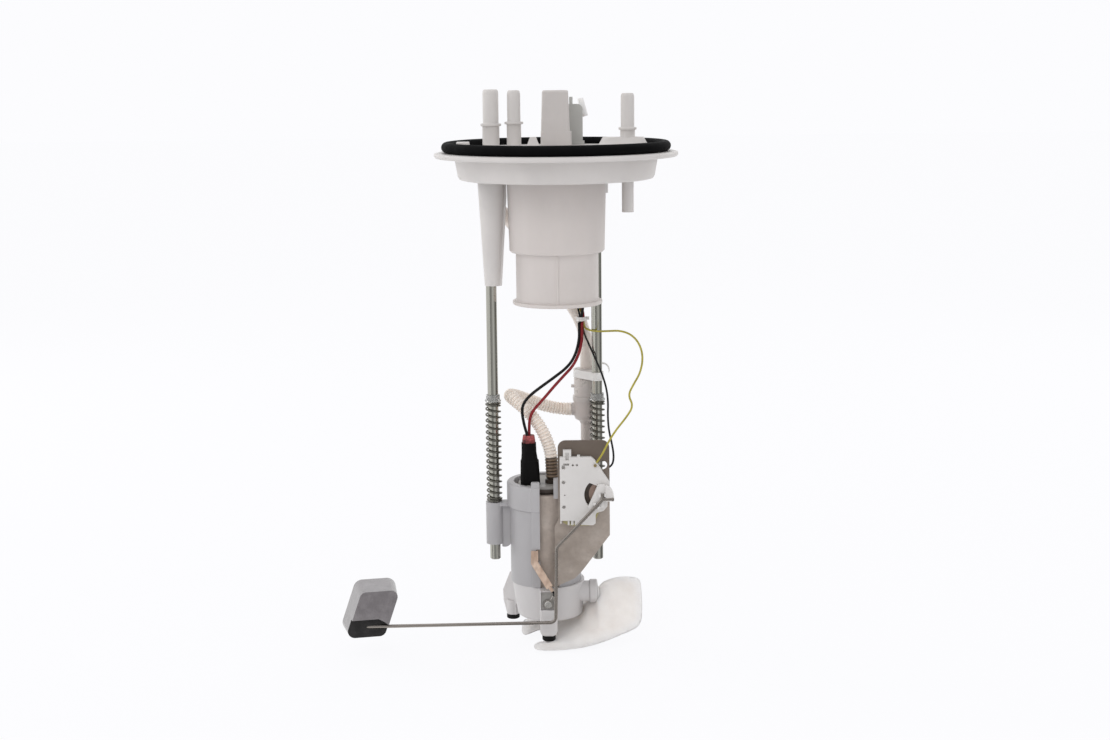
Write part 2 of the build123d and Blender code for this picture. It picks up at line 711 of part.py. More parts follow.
def wire_loom():
    """Sleeve over the four leads from the connector to the tie."""
    points = [
        (CONN_X + 3.0, CONN_Y - 1.6, CEIL_Z - 6.5),
        (CONN_X + 3.6, CONN_Y - 1.9, -26.0),
        (LOOM_X - 5.0, LOOM_Y + 4.4, -48.0),
        (LOOM_X - 1.2, LOOM_Y + 0.7, -72.0),
        (LOOM_X - 0.3, LOOM_Y, -88.0),
        (LOOM_X, LOOM_Y + 0.1, LOOM_END),
    ]
    cord("wire_loom", points, 2 * LOOM_R)


def cable_tie():
    """Tie round the loom's lower end, its head turned to the back."""
    z = LOOM_END + 2.4
    bore = LOOM_R + FIT * 2
    ring = rod(LOOM_X, LOOM_Y, z - 1.2, z + 1.2, LOOM_R + 0.9)
    y = LOOM_Y + LOOM_R
    head = block(LOOM_X - 1.8, LOOM_X + 2.2, y, y + 1.8, z - 1.8, z + 1.8)
    tail = block(LOOM_X + 2.0, LOOM_X + 5.0, y + 0.5, y + 1.2, z - 1.0, z + 1.0)
    export("cable_tie", ring + head + tail - rod(LOOM_X, LOOM_Y, z - 3, z + 3, bore))


# ================================================================ carrier
def bushing(x, y):
    """Rod bushing, its solid web to the sleeve and the lobe under the web, before boring."""
    reach = math.hypot(x - PUMP_X, y - PUMP_Y)
    angle = math.degrees(math.atan2(y - PUMP_Y, x - PUMP_X))
    barrel = rod(x, y, BUSH_BOTTOM, BUSH_TOP, BUSH_R)
    inner = SLEEVE_R - 1.0
    low = WEB_LOBE_Z + LOBE_R
    web = block(inner, reach, -WEB_T / 2, WEB_T / 2, low, BUSH_TOP)
    lobe = Pos(SLEEVE_R + LOBE_R - 0.8, 0, low) * Rot(90, 0, 0) * Cylinder(LOBE_R, WEB_T)
    top = block(inner, reach, -BUSH_R + 1.0, BUSH_R - 1.0, BUSH_TOP - 2.2, BUSH_TOP)
    return barrel + Pos(PUMP_X, PUMP_Y, 0) * Rot(0, 0, angle) * (web + lobe + top)


def pump_sleeve():
    """Moulded sleeve: split tube, larger collar, front rail, rod bushings and plate rails."""
    outline = [
        (SLEEVE_IN, SLEEVE_BOTTOM),
        (SLEEVE_R, SLEEVE_BOTTOM),
        (SLEEVE_R, COLLAR_TOP - COLLAR_H),
        (COLLAR_R, COLLAR_TOP - COLLAR_H + 1.0),
        (COLLAR_R, COLLAR_TOP - 0.8),
        (COLLAR_R - 0.8, COLLAR_TOP),
        (SLEEVE_IN, COLLAR_TOP),
    ]
    body = turned(outline, PUMP_X, PUMP_Y)
    for x, y in ((LEFT_X, LEFT_Y), (RIGHT_X, RIGHT_Y)):
        body += bushing(x, y)
    rail_x = PUMP_X + SLOT_L - RAIL_W
    face_y = PUMP_Y - SLEEVE_R
    rail = block(rail_x, rail_x + RAIL_W, face_y - 0.4, face_y + 2.6, SLEEVE_BOTTOM + 0.5, RAIL_TOP)
    body += fillet(rail.edges().filter_by(Axis.Y).group_by(Axis.Z)[-1], 0.8)
    slot_y0 = PUMP_Y - COLLAR_R - 3
    slot_y1 = PUMP_Y - CAN_R / 2
    body -= block(PUMP_X + SLOT_L, PUMP_X + SLOT_R, slot_y0, slot_y1, SLEEVE_BOTTOM - 1, RAIL_TOP + 1)
    x1 = PUMP_X + SLOT_R
    body += block(x1 - 3.0, x1 + 1.4, PLATE_BACK_Y + 0.3, PUMP_Y - 17.0, COLLAR_TOP - 6.0, RAIL_TOP + 2.2)
    for x in (x1 + 1.4, x1 + 5.6):
        body += block(x, x + 2.2, PLATE_BACK_Y, PUMP_Y - 13.4, SLEEVE_BOTTOM + 9.0, COLLAR_TOP - 9.5)
    body -= rod(PUMP_X, PUMP_Y, SLEEVE_BOTTOM - 1, RAIL_TOP + 4, SLEEVE_IN)
    for x, y in ((LEFT_X, LEFT_Y), (RIGHT_X, RIGHT_Y)):
        body -= rod(x, y, BUSH_BOTTOM - 6, BUSH_TOP + 1, ROD_R + SLIDE)
        body -= rod(x, y, BUSH_BOTTOM - 6, BUSH_BOTTOM + STOP_POCKET, STOP_R + 0.3)
    tie_x = PUMP_X + SLOT_L
    body -= block(tie_x - 2.4, tie_x + 1, face_y - 1, face_y + 3.0, STRAP_TOP_Z - 7.0, STRAP_TOP_Z + 0.4)
    export("pump_sleeve", body)


def lower_cup():
    """Tapered pump cup with a side inlet, the front leg and two rear legs."""
    z0, z1 = LCUP_BOTTOM, SLEEVE_BOTTOM - FIT
    top = Plane.XY.offset(z1) * Pos(LCUP_TOP_X, PUMP_Y) * Circle(LCUP_TOP_R)
    tip = Plane.XY.offset(z0) * Pos(LCUP_TIP_X, PUMP_Y) * Circle(LCUP_TIP_R)
    outer = loft([tip, top])
    outer = fillet(outer.faces().sort_by(Axis.Z)[0].edges(), 1.8)
    half = LEG_W / 2
    front = block(LEG_X - half, LEG_X + half, LEG_FRONT_Y, PUMP_Y - 14.0, LEG_BOTTOM, z1)
    front = fillet(front.edges().filter_by(Axis.Y).group_by(Axis.Z)[0], 3.4)
    front = fillet(front.edges().filter_by(Axis.Z).group_by(Axis.Y)[0], 1.4)
    body = outer + front
    for x, y in (REAR_LEG_L, REAR_LEG_R):
        body += rear_leg(x, y, z1)
    for x, y in foot_places():
        body -= rod(x, y, LEG_BOTTOM - 1, LEG_BOTTOM + 1.4, FOOT_R - 1.4 + FIT)
    port = Pos(PORT_X0, PORT_CY, PORT_CZ) * Rot(0, 90, 0) * Cylinder(
        INLET_R, PORT_X1 - PORT_X0, align=(Align.CENTER, Align.CENTER, Align.MIN)
    )
    body += port
    # hollow for the pump and its end cap, and the inlet passage
    body -= rod(PUMP_X, PUMP_Y, z1 - 9.5, z1 + 1, CAN_R + FIT)
    body -= rod(PUMP_X + 1.4, PUMP_Y, z0 + LCUP_WALL, z1, LCUP_TIP_R - LCUP_WALL - 2.2)
    body -= Pos(PUMP_X, PORT_CY, PORT_CZ - 1.0) * Rot(0, 90, 0) * Cylinder(
        INLET_R - 2.4, PORT_X1 - PUMP_X + 1, align=(Align.CENTER, Align.CENTER, Align.MIN)
    )
    # pocket on the front leg for the ground tab
    pocket_x = half - 0.6
    body -= block(LEG_X - pocket_x, LEG_X + pocket_x, LEG_FRONT_Y - 1, LEG_FRONT_Y + 1.6, z1 - 11.6, z1 + 1)
    body -= rod_y(GTAB_X, GTAB_Z, LEG_FRONT_Y - 1, LEG_FRONT_Y + 7.0, SCREW_R)
    export("lower_cup", body)


def rear_leg(x, y, top):
    """Bowed fin standing off the cup, with the seat of its foot."""
    axis_x, axis_y = LCUP_TIP_X, PUMP_Y
    reach = math.hypot(x - axis_x, y - axis_y)
    angle = math.degrees(math.atan2(y - axis_y, x - axis_x))
    edge = reach + FOOT_R
    seat = LEG_BOTTOM
    outline = Polyline(
        (LCUP_TIP_R - 1.5, top - 1.0),
        (edge - 3.6, top - 1.0),
        (edge - 1.2, top - 6.0),
        (edge + 2.4, top - 13.5),
        (edge + 2.0, top - 20.0),
        (edge - 0.6, seat),
        (reach - FOOT_R, seat),
        (reach - FOOT_R, seat + 7.0),
        (LCUP_TIP_R - 1.5, seat + 10.0),
        close=True,
    )
    fin = Rot(90, 0, 0) * extrude(make_face(outline), 2.2, both=True)
    post = rod(reach, 0, seat, seat + 9.0, FOOT_R)
    return Pos(axis_x, axis_y, 0) * Rot(0, 0, angle) * (fin + post)


def foot_places():
    return [(LEG_X, LEG_FRONT_Y + FOOT_R + 0.2), REAR_LEG_L, REAR_LEG_R]


def rubber_feet():
    feet = []
    for x, y in foot_places():
        pad = rod(x, y, LEG_BOTTOM - FOOT_H, LEG_BOTTOM - FIT, FOOT_R)
        pad = fillet(pad.edges().filter_by(GeomType.CIRCLE).group_by(Axis.Z)[0], 0.8)
        stem = rod(x, y, LEG_BOTTOM - FIT, LEG_BOTTOM + 1.3, FOOT_R - 1.4)
        feet.append(pad + stem)
    export("rubber_feet", Compound(children=feet))


def rod_y(x, z, y0, y1, r):
    """Cylinder lying along Y."""
    return Pos(x, y0, z) * Rot(-90, 0, 0) * Cylinder(r, y1 - y0, align=(Align.CENTER, Align.CENTER, Align.MIN))


def ground_tab():
    """Steel lug in the leg's pocket, bent over the cup's edge against the pump can."""
    y0 = LEG_FRONT_Y + 1.6 - FIT
    x0, x1 = GTAB_X - 4.3, GTAB_X + 4.3
    z1 = SLEEVE_BOTTOM - 1.0
    plate = block(x0, x1, y0 - TAB_T, y0, GTAB_Z - 3.2, z1)
    plate -= rod_y(GTAB_X, GTAB_Z, y0 - 2, y0 + 1, SCREW_R + FIT)
    export("ground_tab", plate)


def ground_screw():
    y0 = LEG_FRONT_Y + 1.6 - FIT - TAB_T
    ring_t = 0.6
    shank = rod_y(GTAB_X, GTAB_Z, y0 - ring_t - FIT, LEG_FRONT_Y + 6.6, SCREW_R - FIT)
    head = rod_y(GTAB_X, GTAB_Z, y0 - ring_t - FIT - 1.3, y0 - ring_t - FIT, 2.2)
    head = fillet(head.edges().filter_by(GeomType.CIRCLE).group_by(Axis.Y)[0], 0.6)
    cross = Pos(GTAB_X, y0 - ring_t - 1.2, GTAB_Z)
    head -= cross * Rot(0, 30, 0) * Box(2.6, 1.2, 0.5)
    head -= cross * Rot(0, 120, 0) * Box(2.6, 1.2, 0.5)
    export("ground_screw", shank + head)


def terminal_plane():
    """Back face of the ring terminal, on the tab."""
    return LEG_FRONT_Y + 1.6 - FIT - TAB_T - FIT


def terminal_mouth():
    """Upper end of the terminal's crimp barrel."""
    turn = math.radians(32)
    return (GTAB_X + 6.2 * math.sin(turn), terminal_plane() - 1.0, GTAB_Z + 6.2 * math.cos(turn) + FIT)


def ground_terminal():
    """Ring terminal under the screw, with its crimp barrel turned up to the lead."""
    y1 = terminal_plane()
    y0 = y1 - 0.5
    turned_up = Pos(GTAB_X, 0, GTAB_Z) * Rot(0, 32, 0)
    ring = rod_y(GTAB_X, GTAB_Z, y0, y1, 3.0)
    neck = turned_up * Pos(0, (y0 + y1) / 2, 4.2) * Box(2.0, y1 - y0, 3.4)
    barrel = turned_up * Pos(0, y1 - 1.0, 3.3) * Cylinder(0.9, 2.9, align=(Align.CENTER, Align.CENTER, Align.MIN))
    body = ring + neck + barrel - rod_y(GTAB_X, GTAB_Z, y0 - 1, y1 + 1, SCREW_R + FIT)
    export("ground_terminal", body)


def strap_points():
    """Slot end, knee and crimp end of the ground strap's centre line."""
    y = PUMP_Y - SLEEVE_R - 1.0 - STRAP_T
    return (
        Vector(-15.2, y, STRAP_TOP_Z),
        Vector(-15.4, y, STRAP_TOP_Z - 7.2),
        Vector(-6.4, LEG_FRONT_Y - 1.4, STRAP_TOP_Z - 20.6),
    )


def ground_strap():
    """Flat metal strap from the sleeve's slot down to the crimp on the ground lead."""
    top, knee, end = strap_points()
    y = top.Y
    a = strap_leg(top, knee)
    b = strap_leg(knee, end)
    crimp = Pos(end.X + 0.6, end.Y, end.Z - 0.8) * Rot(0, -35, 0) * Cylinder(1.0, 3.6)
    body = a + b + rod_y(knee.X, knee.Z, y - STRAP_T / 2, y + STRAP_T / 2, STRAP_W / 2) + crimp
    z1 = STRAP_TOP_Z
    tongue = block(top.X + 1.2, top.X + STRAP_W / 2, y, PUMP_Y - SLEEVE_R + 1.2, z1 - 6.6, z1)
    export("ground_strap", body + tongue)


def strap_leg(start, end):
    """Straight flat run between two points, its width across the run in the XZ plane."""
    run = end - start
    plane = Plane(origin=start, z_dir=run, x_dir=Vector(-run.Z, 0, run.X))
    return extrude(plane * Rectangle(STRAP_W, STRAP_T), run.length)


def ground_wire():
    end = strap_points()[2]
    turn = math.radians(35)
    x0 = end.X + 0.6 + 1.85 * math.sin(turn)
    z0 = end.Z - 0.8 - 1.85 * math.cos(turn)
    (x1, y1, z1) = terminal_mouth()
    points = [
        (x0, end.Y, z0),
        (x0 + 0.9, end.Y, z0 - 1.3),
        (x1 + 0.7, y1, z1 + 1.2),
        (x1, y1, z1),
    ]
    cord("ground_wire", points, SENDER_D)


def pump_can():
    """Steel shell crimped over both ends."""
    body = rod(PUMP_X, PUMP_Y, CAN_BOTTOM, CAN_TOP, CAN_R)
    body = fillet(body.faces().sort_by(Axis.Z)[-1].edges(), 1.4)
    body -= rod(PUMP_X, PUMP_Y, CAN_BOTTOM - 1, CAN_TOP - CAN_WALL - 1.0, CAN_R - CAN_WALL)
    body -= rod(PUMP_X, PUMP_Y, CAN_BOTTOM, CAN_TOP + 1, CAN_R - 4.0)
    export("pump_can", body)


def pump_top_cap():
    """Brush holder and outlet end: turned cap, outlet barb and plug base."""
    seat = CAN_TOP - CAN_WALL - 1.0 - FIT
    outline = [
        (SHAFT_R + SLIDE, seat - 4.5),
        (CAN_R - CAN_WALL - FIT, seat - 4.5),
        (CAN_R - CAN_WALL - FIT, seat),
        (CAN_R - 4.0 - FIT, seat),
        (CAN_R - 4.0 - FIT, CAN_TOP + 1.0),
        (CAN_R - 2.6, CAN_TOP + 1.6),
        (CAN_R - 2.6, PUMP_CAP_TOP - 0.8),
        (CAN_R - 3.4, PUMP_CAP_TOP),
        (0, PUMP_CAP_TOP),
        (0, CAN_TOP - 1.2),
        (SHAFT_R + SLIDE, CAN_TOP - 1.2),
    ]
    body = turned(outline, PUMP_X, PUMP_Y)
    body += Pos(BOOT_X + 0.6, BOOT_Y + 1.2, PUMP_CAP_TOP) * extrude(RectangleRounded(7.0, 5.0, 0.8), 5.0)
    export("pump_top_cap", body)


def outlet_barb():
    """Check-valve outlet pressed on the cap, with hose barbs."""
    z0 = PUMP_CAP_TOP + FIT
    step = (BARB_TOP - z0 - 5.0) / BARBS
    points = [(1.5, z0), (4.2, z0), (4.2, z0 + 2.2), (BARB_R, z0 + 3.0)]
    for k in range(BARBS):
        z = z0 + 4.2 + k * step
        points += [(BARB_R, z), (BARB_R - 0.35, z + step * 0.9)]
    points += [(BARB_R - 0.5, BARB_TOP), (1.5, BARB_TOP)]
    export("outlet_barb", turned(points, BARB_X, BARB_Y))


def motor():
    """Magnets, armature on its shaft, impeller and the inlet end cap."""
    magnet = rod(PUMP_X, PUMP_Y, ARM_BOTTOM, ARM_TOP, CAN_R - CAN_WALL - FIT)
    magnet -= rod(PUMP_X, PUMP_Y, ARM_BOTTOM - 1, ARM_TOP + 1, CAN_R - CAN_WALL - MAGNET_T)
    magnet -= Pos(PUMP_X, PUMP_Y, (ARM_TOP + ARM_BOTTOM) / 2) * Box(60, 12, 60)
    export("motor_magnets", Compound(children=magnet.solids()))

    core = rod(PUMP_X, PUMP_Y, ARM_BOTTOM + 3, ARM_TOP - 3, ARM_R)
    for k in range(8):
        slot = Rot(0, 0, 45 * k) * block(ARM_R - 2.6, ARM_R + 1, -0.9, 0.9, ARM_BOTTOM, ARM_TOP)
        core -= Pos(PUMP_X, PUMP_Y, 0) * slot
    shaft = rod(PUMP_X, PUMP_Y, CAN_BOTTOM - 3.5, CAN_TOP - 3.0, SHAFT_R)
    commutator = rod(PUMP_X, PUMP_Y, ARM_TOP - 3, ARM_TOP + 1.5, 6.0)
    export("armature", core + shaft + commutator)

    z1 = CAN_BOTTOM + 4.0
    wheel = rod(PUMP_X, PUMP_Y, z1 - IMPELLER_T, z1, IMPELLER_R)
    for k in range(IMPELLER_VANES):
        notch = Rot(0, 0, 360 / IMPELLER_VANES * k) * block(IMPELLER_R - 3, IMPELLER_R + 1, -0.7, 0.7, z1 - 5, z1 + 1)
        wheel -= Pos(PUMP_X, PUMP_Y, 0) * notch
    wheel -= rod(PUMP_X, PUMP_Y, z1 - 5, z1 + 1, SHAFT_R + FIT)
    export("impeller", wheel)

    # two-part pumping chamber held in the can's lower end
    room = SLIDE + 0.1
    cap = rod(PUMP_X, PUMP_Y, CAN_BOTTOM - ENDCAP_T + 3.0, z1 + 5.0, CAN_R - CAN_WALL - FIT)
    cap -= rod(PUMP_X, PUMP_Y, z1 - IMPELLER_T - room, z1 + room, IMPELLER_R + 0.5)
    cap -= rod(PUMP_X, PUMP_Y, CAN_BOTTOM - 3.8, z1 + 6, SHAFT_R + SLIDE)
    cap -= rod(PUMP_X + IMPELLER_R - 1.5, PUMP_Y, CAN_BOTTOM - ENDCAP_T, z1, 1.6)
    export("pump_end_cap", cap)


def connector_boot():
    """Rubber boot over the pump's plug: a neck that flares above a stepped skirt."""
    base_z = PUMP_CAP_TOP + AIR / 2
    sections = []
    for z, dx, dy, w, d, r in (
        (BOOT_TOP, -0.3, 1.6, BOOT_TOP_W, BOOT_D, 3.2),
        (BOOT_TOP - 6.0, -0.2, 1.5, BOOT_TOP_W + 0.2, BOOT_D, 3.0),
        (BOOT_STEP_Z + 0.6, 0.0, 1.4, BOOT_TOP_W + 1.2, BOOT_D, 2.8),
        (BOOT_STEP_Z, 0.1, 1.3, BOOT_TOP_W + 2.2, BOOT_D + 0.2, 2.6),
        (base_z, 0.4, 0.8, BOOT_BASE_W, BOOT_D + 0.4, 2.0),
    ):
        sections.append(Plane.XY.offset(z) * Pos(BOOT_X + dx, BOOT_Y + dy) * RectangleRounded(w, d, r))
    body = loft(sections[::-1], ruled=True)
    plug = Pos(BOOT_X + 0.6, BOOT_Y + 1.2, base_z - 1) * extrude(Rectangle(7.0 + 2 * FIT, 5.0 + 2 * FIT), 6.2)
    export("connector_boot", body - plug)


def wire_grommet():
    x, y = GROMMET_X, GROMMET_Y
    top = BOOT_TOP + GROMMET_H
    outline = [(0, BOOT_TOP + FIT), (GROMMET_R, BOOT_TOP + FIT), (GROMMET_R, top - 3.0), (GROMMET_R - 0.5, top), (0, top)]
    body = turned(outline, x, y)
    for px, py in power_exits():
        body -= rod(px, py, top - 2.0, top + 1, POWER_D / 2 + 0.08)
    export("wire_grommet", body)


def power_exits():
    return [(GROMMET_X - 0.7, GROMMET_Y - 1.3), (GROMMET_X + 0.3, GROMMET_Y + 1.0)]


# ================================================================ level sender
def sender_bracket():
    """Pressed steel plate with a turned-back left edge."""
    outline = Polyline(
        (-0.9, COLLAR_TOP + 29.4),
        (29.5, COLLAR_TOP + 29.4),
        (29.6, COLLAR_TOP - 28.0),
        (12.9, COLLAR_TOP - 50.0),
        (8.6, COLLAR_TOP - 54.4),
        (-3.1, COLLAR_TOP - 59.6),
        (-3.1, COLLAR_TOP - 23.0),
        (-0.9, COLLAR_TOP - 18.4),
        close=True,
    )
    plan = make_face(outline)
    plan = fillet(plan.vertices().group_by(Axis.Y)[-1], 4.6)
    plate = Pos(0, PLATE_BACK_Y, 0) * Rot(90, 0, 0) * extrude(plan, BRACKET_T)
    y0, y1 = PLATE_FRONT_Y - 1, PLATE_BACK_Y + 1
    plate -= rod_y(TERM_X + 4.5, TERM_Z - 0.8, y0, y1, 2.7)
    plate -= rod_y(PIVOT_X, PIVOT_Z, y0, y1, JOURNAL_R + 0.6)
    lip_y = PUMP_Y - SLEEVE_R - 0.3
    lip = block(-3.1, -3.1 + BRACKET_T, PLATE_BACK_Y - 0.2, lip_y, COLLAR_TOP - 58.0, COLLAR_TOP - 24.0)
    export("sender_bracket", plate + lip)


def xz_sheet(points, y_front, thickness):
    """Flat part from an XZ outline, extruded backwards from its front face."""
    face = make_face(Polyline(*points, close=True))
    return Pos(0, y_front + thickness, 0) * Rot(90, 0, 0) * extrude(face, thickness)


def sender_housing():
    """Moulded front frame: pocket round the rotor's bearing, tabs and locating holes."""
    px, pz = PIVOT_X, PIVOT_Z
    points = [
        (px - 24.5, pz + 22.8),
        (px - 6.1, pz + 22.8),
        (px - 4.1, pz + 21.3),
        (px + 4.2, pz + 8.4),
        (px + 4.6, pz + 7.4),
        (px + 4.6, pz - 2.6),
        (px + 3.7, pz - 4.0),
        (px + 3.3, pz - 7.0),
        (px + 1.1, pz - 9.7),
        (px - 3.0, pz - 10.8),
        (px - 3.6, pz - 12.3),
        (px - 3.6, pz - 17.2),
        (px - 5.1, pz - 18.3),
        (px - 16.0, pz - 18.0),
        (px - 16.0, pz - 15.5),
        (px - 24.5, pz - 15.5),
    ]
    y0, y1 = HOUSING_FRONT_Y - 1, CARD_FRONT_Y + 1
    back = CARD_FRONT_Y - FIT
    body = xz_sheet(points, HOUSING_FRONT_Y, HOUSING_T - FIT)
    for x0, x1, z0, z1 in (
        (px - 22.5, px - 17.7, pz + 22.0, pz + 27.0),
        (px - 14.3, px - 12.5, pz + 22.0, pz + 23.8),
        (px - 24.5, px - 23.7, pz - 17.3, pz - 15.0),
        (px - 20.1, px - 19.0, pz - 18.3, pz - 15.0),
        (px - 18.2, px - 16.6, pz - 18.3, pz - 15.0),
    ):
        body += block(x0, x1, HOUSING_FRONT_Y + 0.6, back, z0, z1)
    body -= block(px - 21.1, px - 19.1, HOUSING_FRONT_Y, HOUSING_FRONT_Y + 1.8, pz + 21.0, pz + 25.2)
    body -= sender_pocket(y0, y1) - rod_y(px, pz, y0 - 1, y1 + 1, ISLAND_R)
    body -= rod_y(px, pz, y0, y1, JOURNAL_R + SLIDE)
    floor = HOUSING_FRONT_Y + 2.2
    for dx, dz, r in ((-22.3, 7.7, 1.1), (-22.2, -7.2, 1.1), (-21.6, 0.0, 0.4), (-16.8, 18.0, 0.65), (-14.4, 18.0, 0.65)):
        body -= rod_y(px + dx, pz + dz, y0, floor, r)
    body -= block(px - 22.4, px - 19.0, y0, floor, pz + 17.8, pz + 19.1)
    body -= block(px - 23.3, px - 21.3, y0, floor, pz + 15.7, pz + 17.9)
    body -= rod_y(TERM_X, TERM_Z, y0, y1, PIN_R + FIT)
    export("sender_housing", body)


def sender_pocket(y0, y1):
    """Opening that the wiper sweeps: a disc cut off above, below and on the bearing's side."""
    px, pz = PIVOT_X, PIVOT_Z
    frame = Polyline(
        (px - 12.0, pz + 9.3),
        (px + 0.6, pz + 4.2),
        (px + 0.6, pz - 4.9),
        (px - 12.0, pz - 7.0),
        close=True,
    )
    sheet = Pos(0, y1, 0) * Rot(90, 0, 0) * extrude(make_face(frame), y1 - y0)
    return sheet & rod_y(px, pz, y0, y1, POCKET_R)


def resistor_card():
    """Ceramic card with its lower edge showing under the housing."""
    px, pz = PIVOT_X, PIVOT_Z
    points = [
        (px - 22.0, pz + 20.1),
        (px - 6.1, pz + 20.1),
        (px + 0.3, pz + 10.6),
        (px + 0.3, pz - 7.4),
        (px - 4.9, pz - 18.8),
        (px - 8.0, pz - 19.4),
        (px - 13.0, pz - 19.5),
        (px - 19.6, pz - 19.1),
        (px - 22.8, pz - 17.4),
        (px - 22.8, pz - 14.0),
        (px - 22.0, pz - 14.0),
    ]
    card = xz_sheet(points, CARD_FRONT_Y, CARD_T - FIT)
    card -= rod_y(px, pz, CARD_FRONT_Y - 1, CARD_FRONT_Y + 2, JOURNAL_R + 0.6)
    card -= rod_y(TERM_X, TERM_Z, CARD_FRONT_Y - 1, CARD_FRONT_Y + 2, PIN_R + FIT)
    export("resistor_card", card)


def sender_terminals():
    """Signal pin through the housing and the ground tab behind the plate."""
    pin = rod_y(TERM_X, TERM_Z, HOUSING_FRONT_Y - 1.0, CARD_FRONT_Y + CARD_T - FIT, PIN_R)
    pin += rod_y(TERM_X, TERM_Z, HOUSING_FRONT_Y - 1.0, HOUSING_FRONT_Y - FIT, PIN_R + 0.25)
    x, z = PIVOT_X + 1.2, PIVOT_Z + 10.6
    y = PLATE_BACK_Y + FIT
    tab = block(x - 1.6, x + 2.6, y, y + 0.8, z - 3.0, z + 3.0)
    tab += block(x + 1.2, x + 2.6, y, y + 2.4, z, z + 3.0)
    export("sender_terminals", Compound(children=[pin, tab]))


def wire_jaws(at, along):
    """Pair of jaws on the hub's face that grip the arm wire at one place."""
    run = Vector(along[0] - at[0], 0, along[2] - at[2]).normalized()
    spot = Plane(origin=(at[0], HUB_FRONT_Y, at[2]), x_dir=run, z_dir=Vector(0, -1, 0))
    jaws = []
    for side in (-1, 1):
        jaw = Pos(0, side * (ARM_WIRE_R + FIT + 0.5), ARM_WIRE_R * 0.9) * Box(1.8, 1.0, ARM_WIRE_R * 1.8)
        jaws.append(spot * jaw)
    return jaws


def sender_rotor():
    """Hub that carries the arm wire and turns in the housing: flat-sided disc, raised lip and a tongue."""
    px, pz = PIVOT_X, PIVOT_Z
    hub = rod_y(px, pz, HUB_FRONT_Y, HUB_BACK_Y, HUB_R)
    tongue = [
        (px - 2.6, pz + 6.0),
        (px - 8.3, pz - 6.7),
        (px - 6.2, pz - 10.4),
        (px + 0.9, pz - 4.4),
        (px + 0.9, pz),
    ]
    body = hub + xz_sheet(tongue, HUB_FRONT_Y, HUB_T)
    flat = Pos(px, 0, pz) * Rot(0, HUB_FLAT_TILT, 0) * block(-20, -HUB_FLAT, HUB_FRONT_Y - 1, HUB_BACK_Y + 1, -20, 20)
    body -= flat
    body -= block(px + 1.4, px + 12, HUB_FRONT_Y - 1, HUB_BACK_Y + 1, pz - 12, pz - 3.0)
    body += block(px + 1.4, px + HUB_R + 0.1, HUB_FRONT_Y, HUB_BACK_Y, pz - 3.0, pz)
    lip = rod_y(px, pz, HUB_FRONT_Y - HUB_LIP, HUB_FRONT_Y, HUB_R)
    lip += block(px + 2.2, px + HUB_R + 0.1, HUB_FRONT_Y - HUB_LIP, HUB_FRONT_Y, pz - 3.0, pz)
    lip &= block(px + 2.2, px + 12, HUB_FRONT_Y - 5, HUB_FRONT_Y + 5, pz - 3.0, pz + 12)
    body += lip
    body -= rod_y(px + HUB_R - 0.6, pz - 2.3, HUB_FRONT_Y - HUB_LIP - 1, HUB_FRONT_Y + 0.8, 0.6)
    body += rod_y(px, pz, HUB_BACK_Y, PLATE_BACK_Y - 0.2, JOURNAL_R)
    points = arm_points()
    end, knee, far = (Vector(*p) for p in points[:3])
    lower = knee + (far - knee).normalized() * 5.0
    upper = end + Vector(0, 0, -0.9)
    for jaw in wire_jaws(tuple(lower), tuple(far)) + wire_jaws(tuple(upper), tuple(knee)):
        body += jaw
    export("sender_rotor", body)


def arm_points():
    """Pivot end, the bends and the float end of the arm wire."""
    return [
        (PIVOT_X + 0.4, ARM_Y, PIVOT_Z + 1.6),
        (PIVOT_X + 0.4, ARM_Y, PIVOT_Z - 1.9),
        (PIVOT_X - 26.9, ARM_Y, PIVOT_Z - 30.8),
        (PIVOT_X - 27.7, ARM_Y, PIVOT_Z - 76.5),
        (PIVOT_X - 138.9, ARM_Y - 9.5, PIVOT_Z - 74.8),
    ]


def float_arm():
    path = FilletPolyline(*arm_points(), radius=[2.2, ARM_BEND, ARM_BEND])
    start = Plane(origin=path @ 0, z_dir=path % 0)
    export("float_arm", sweep(start * Circle(ARM_WIRE_R), path=path))


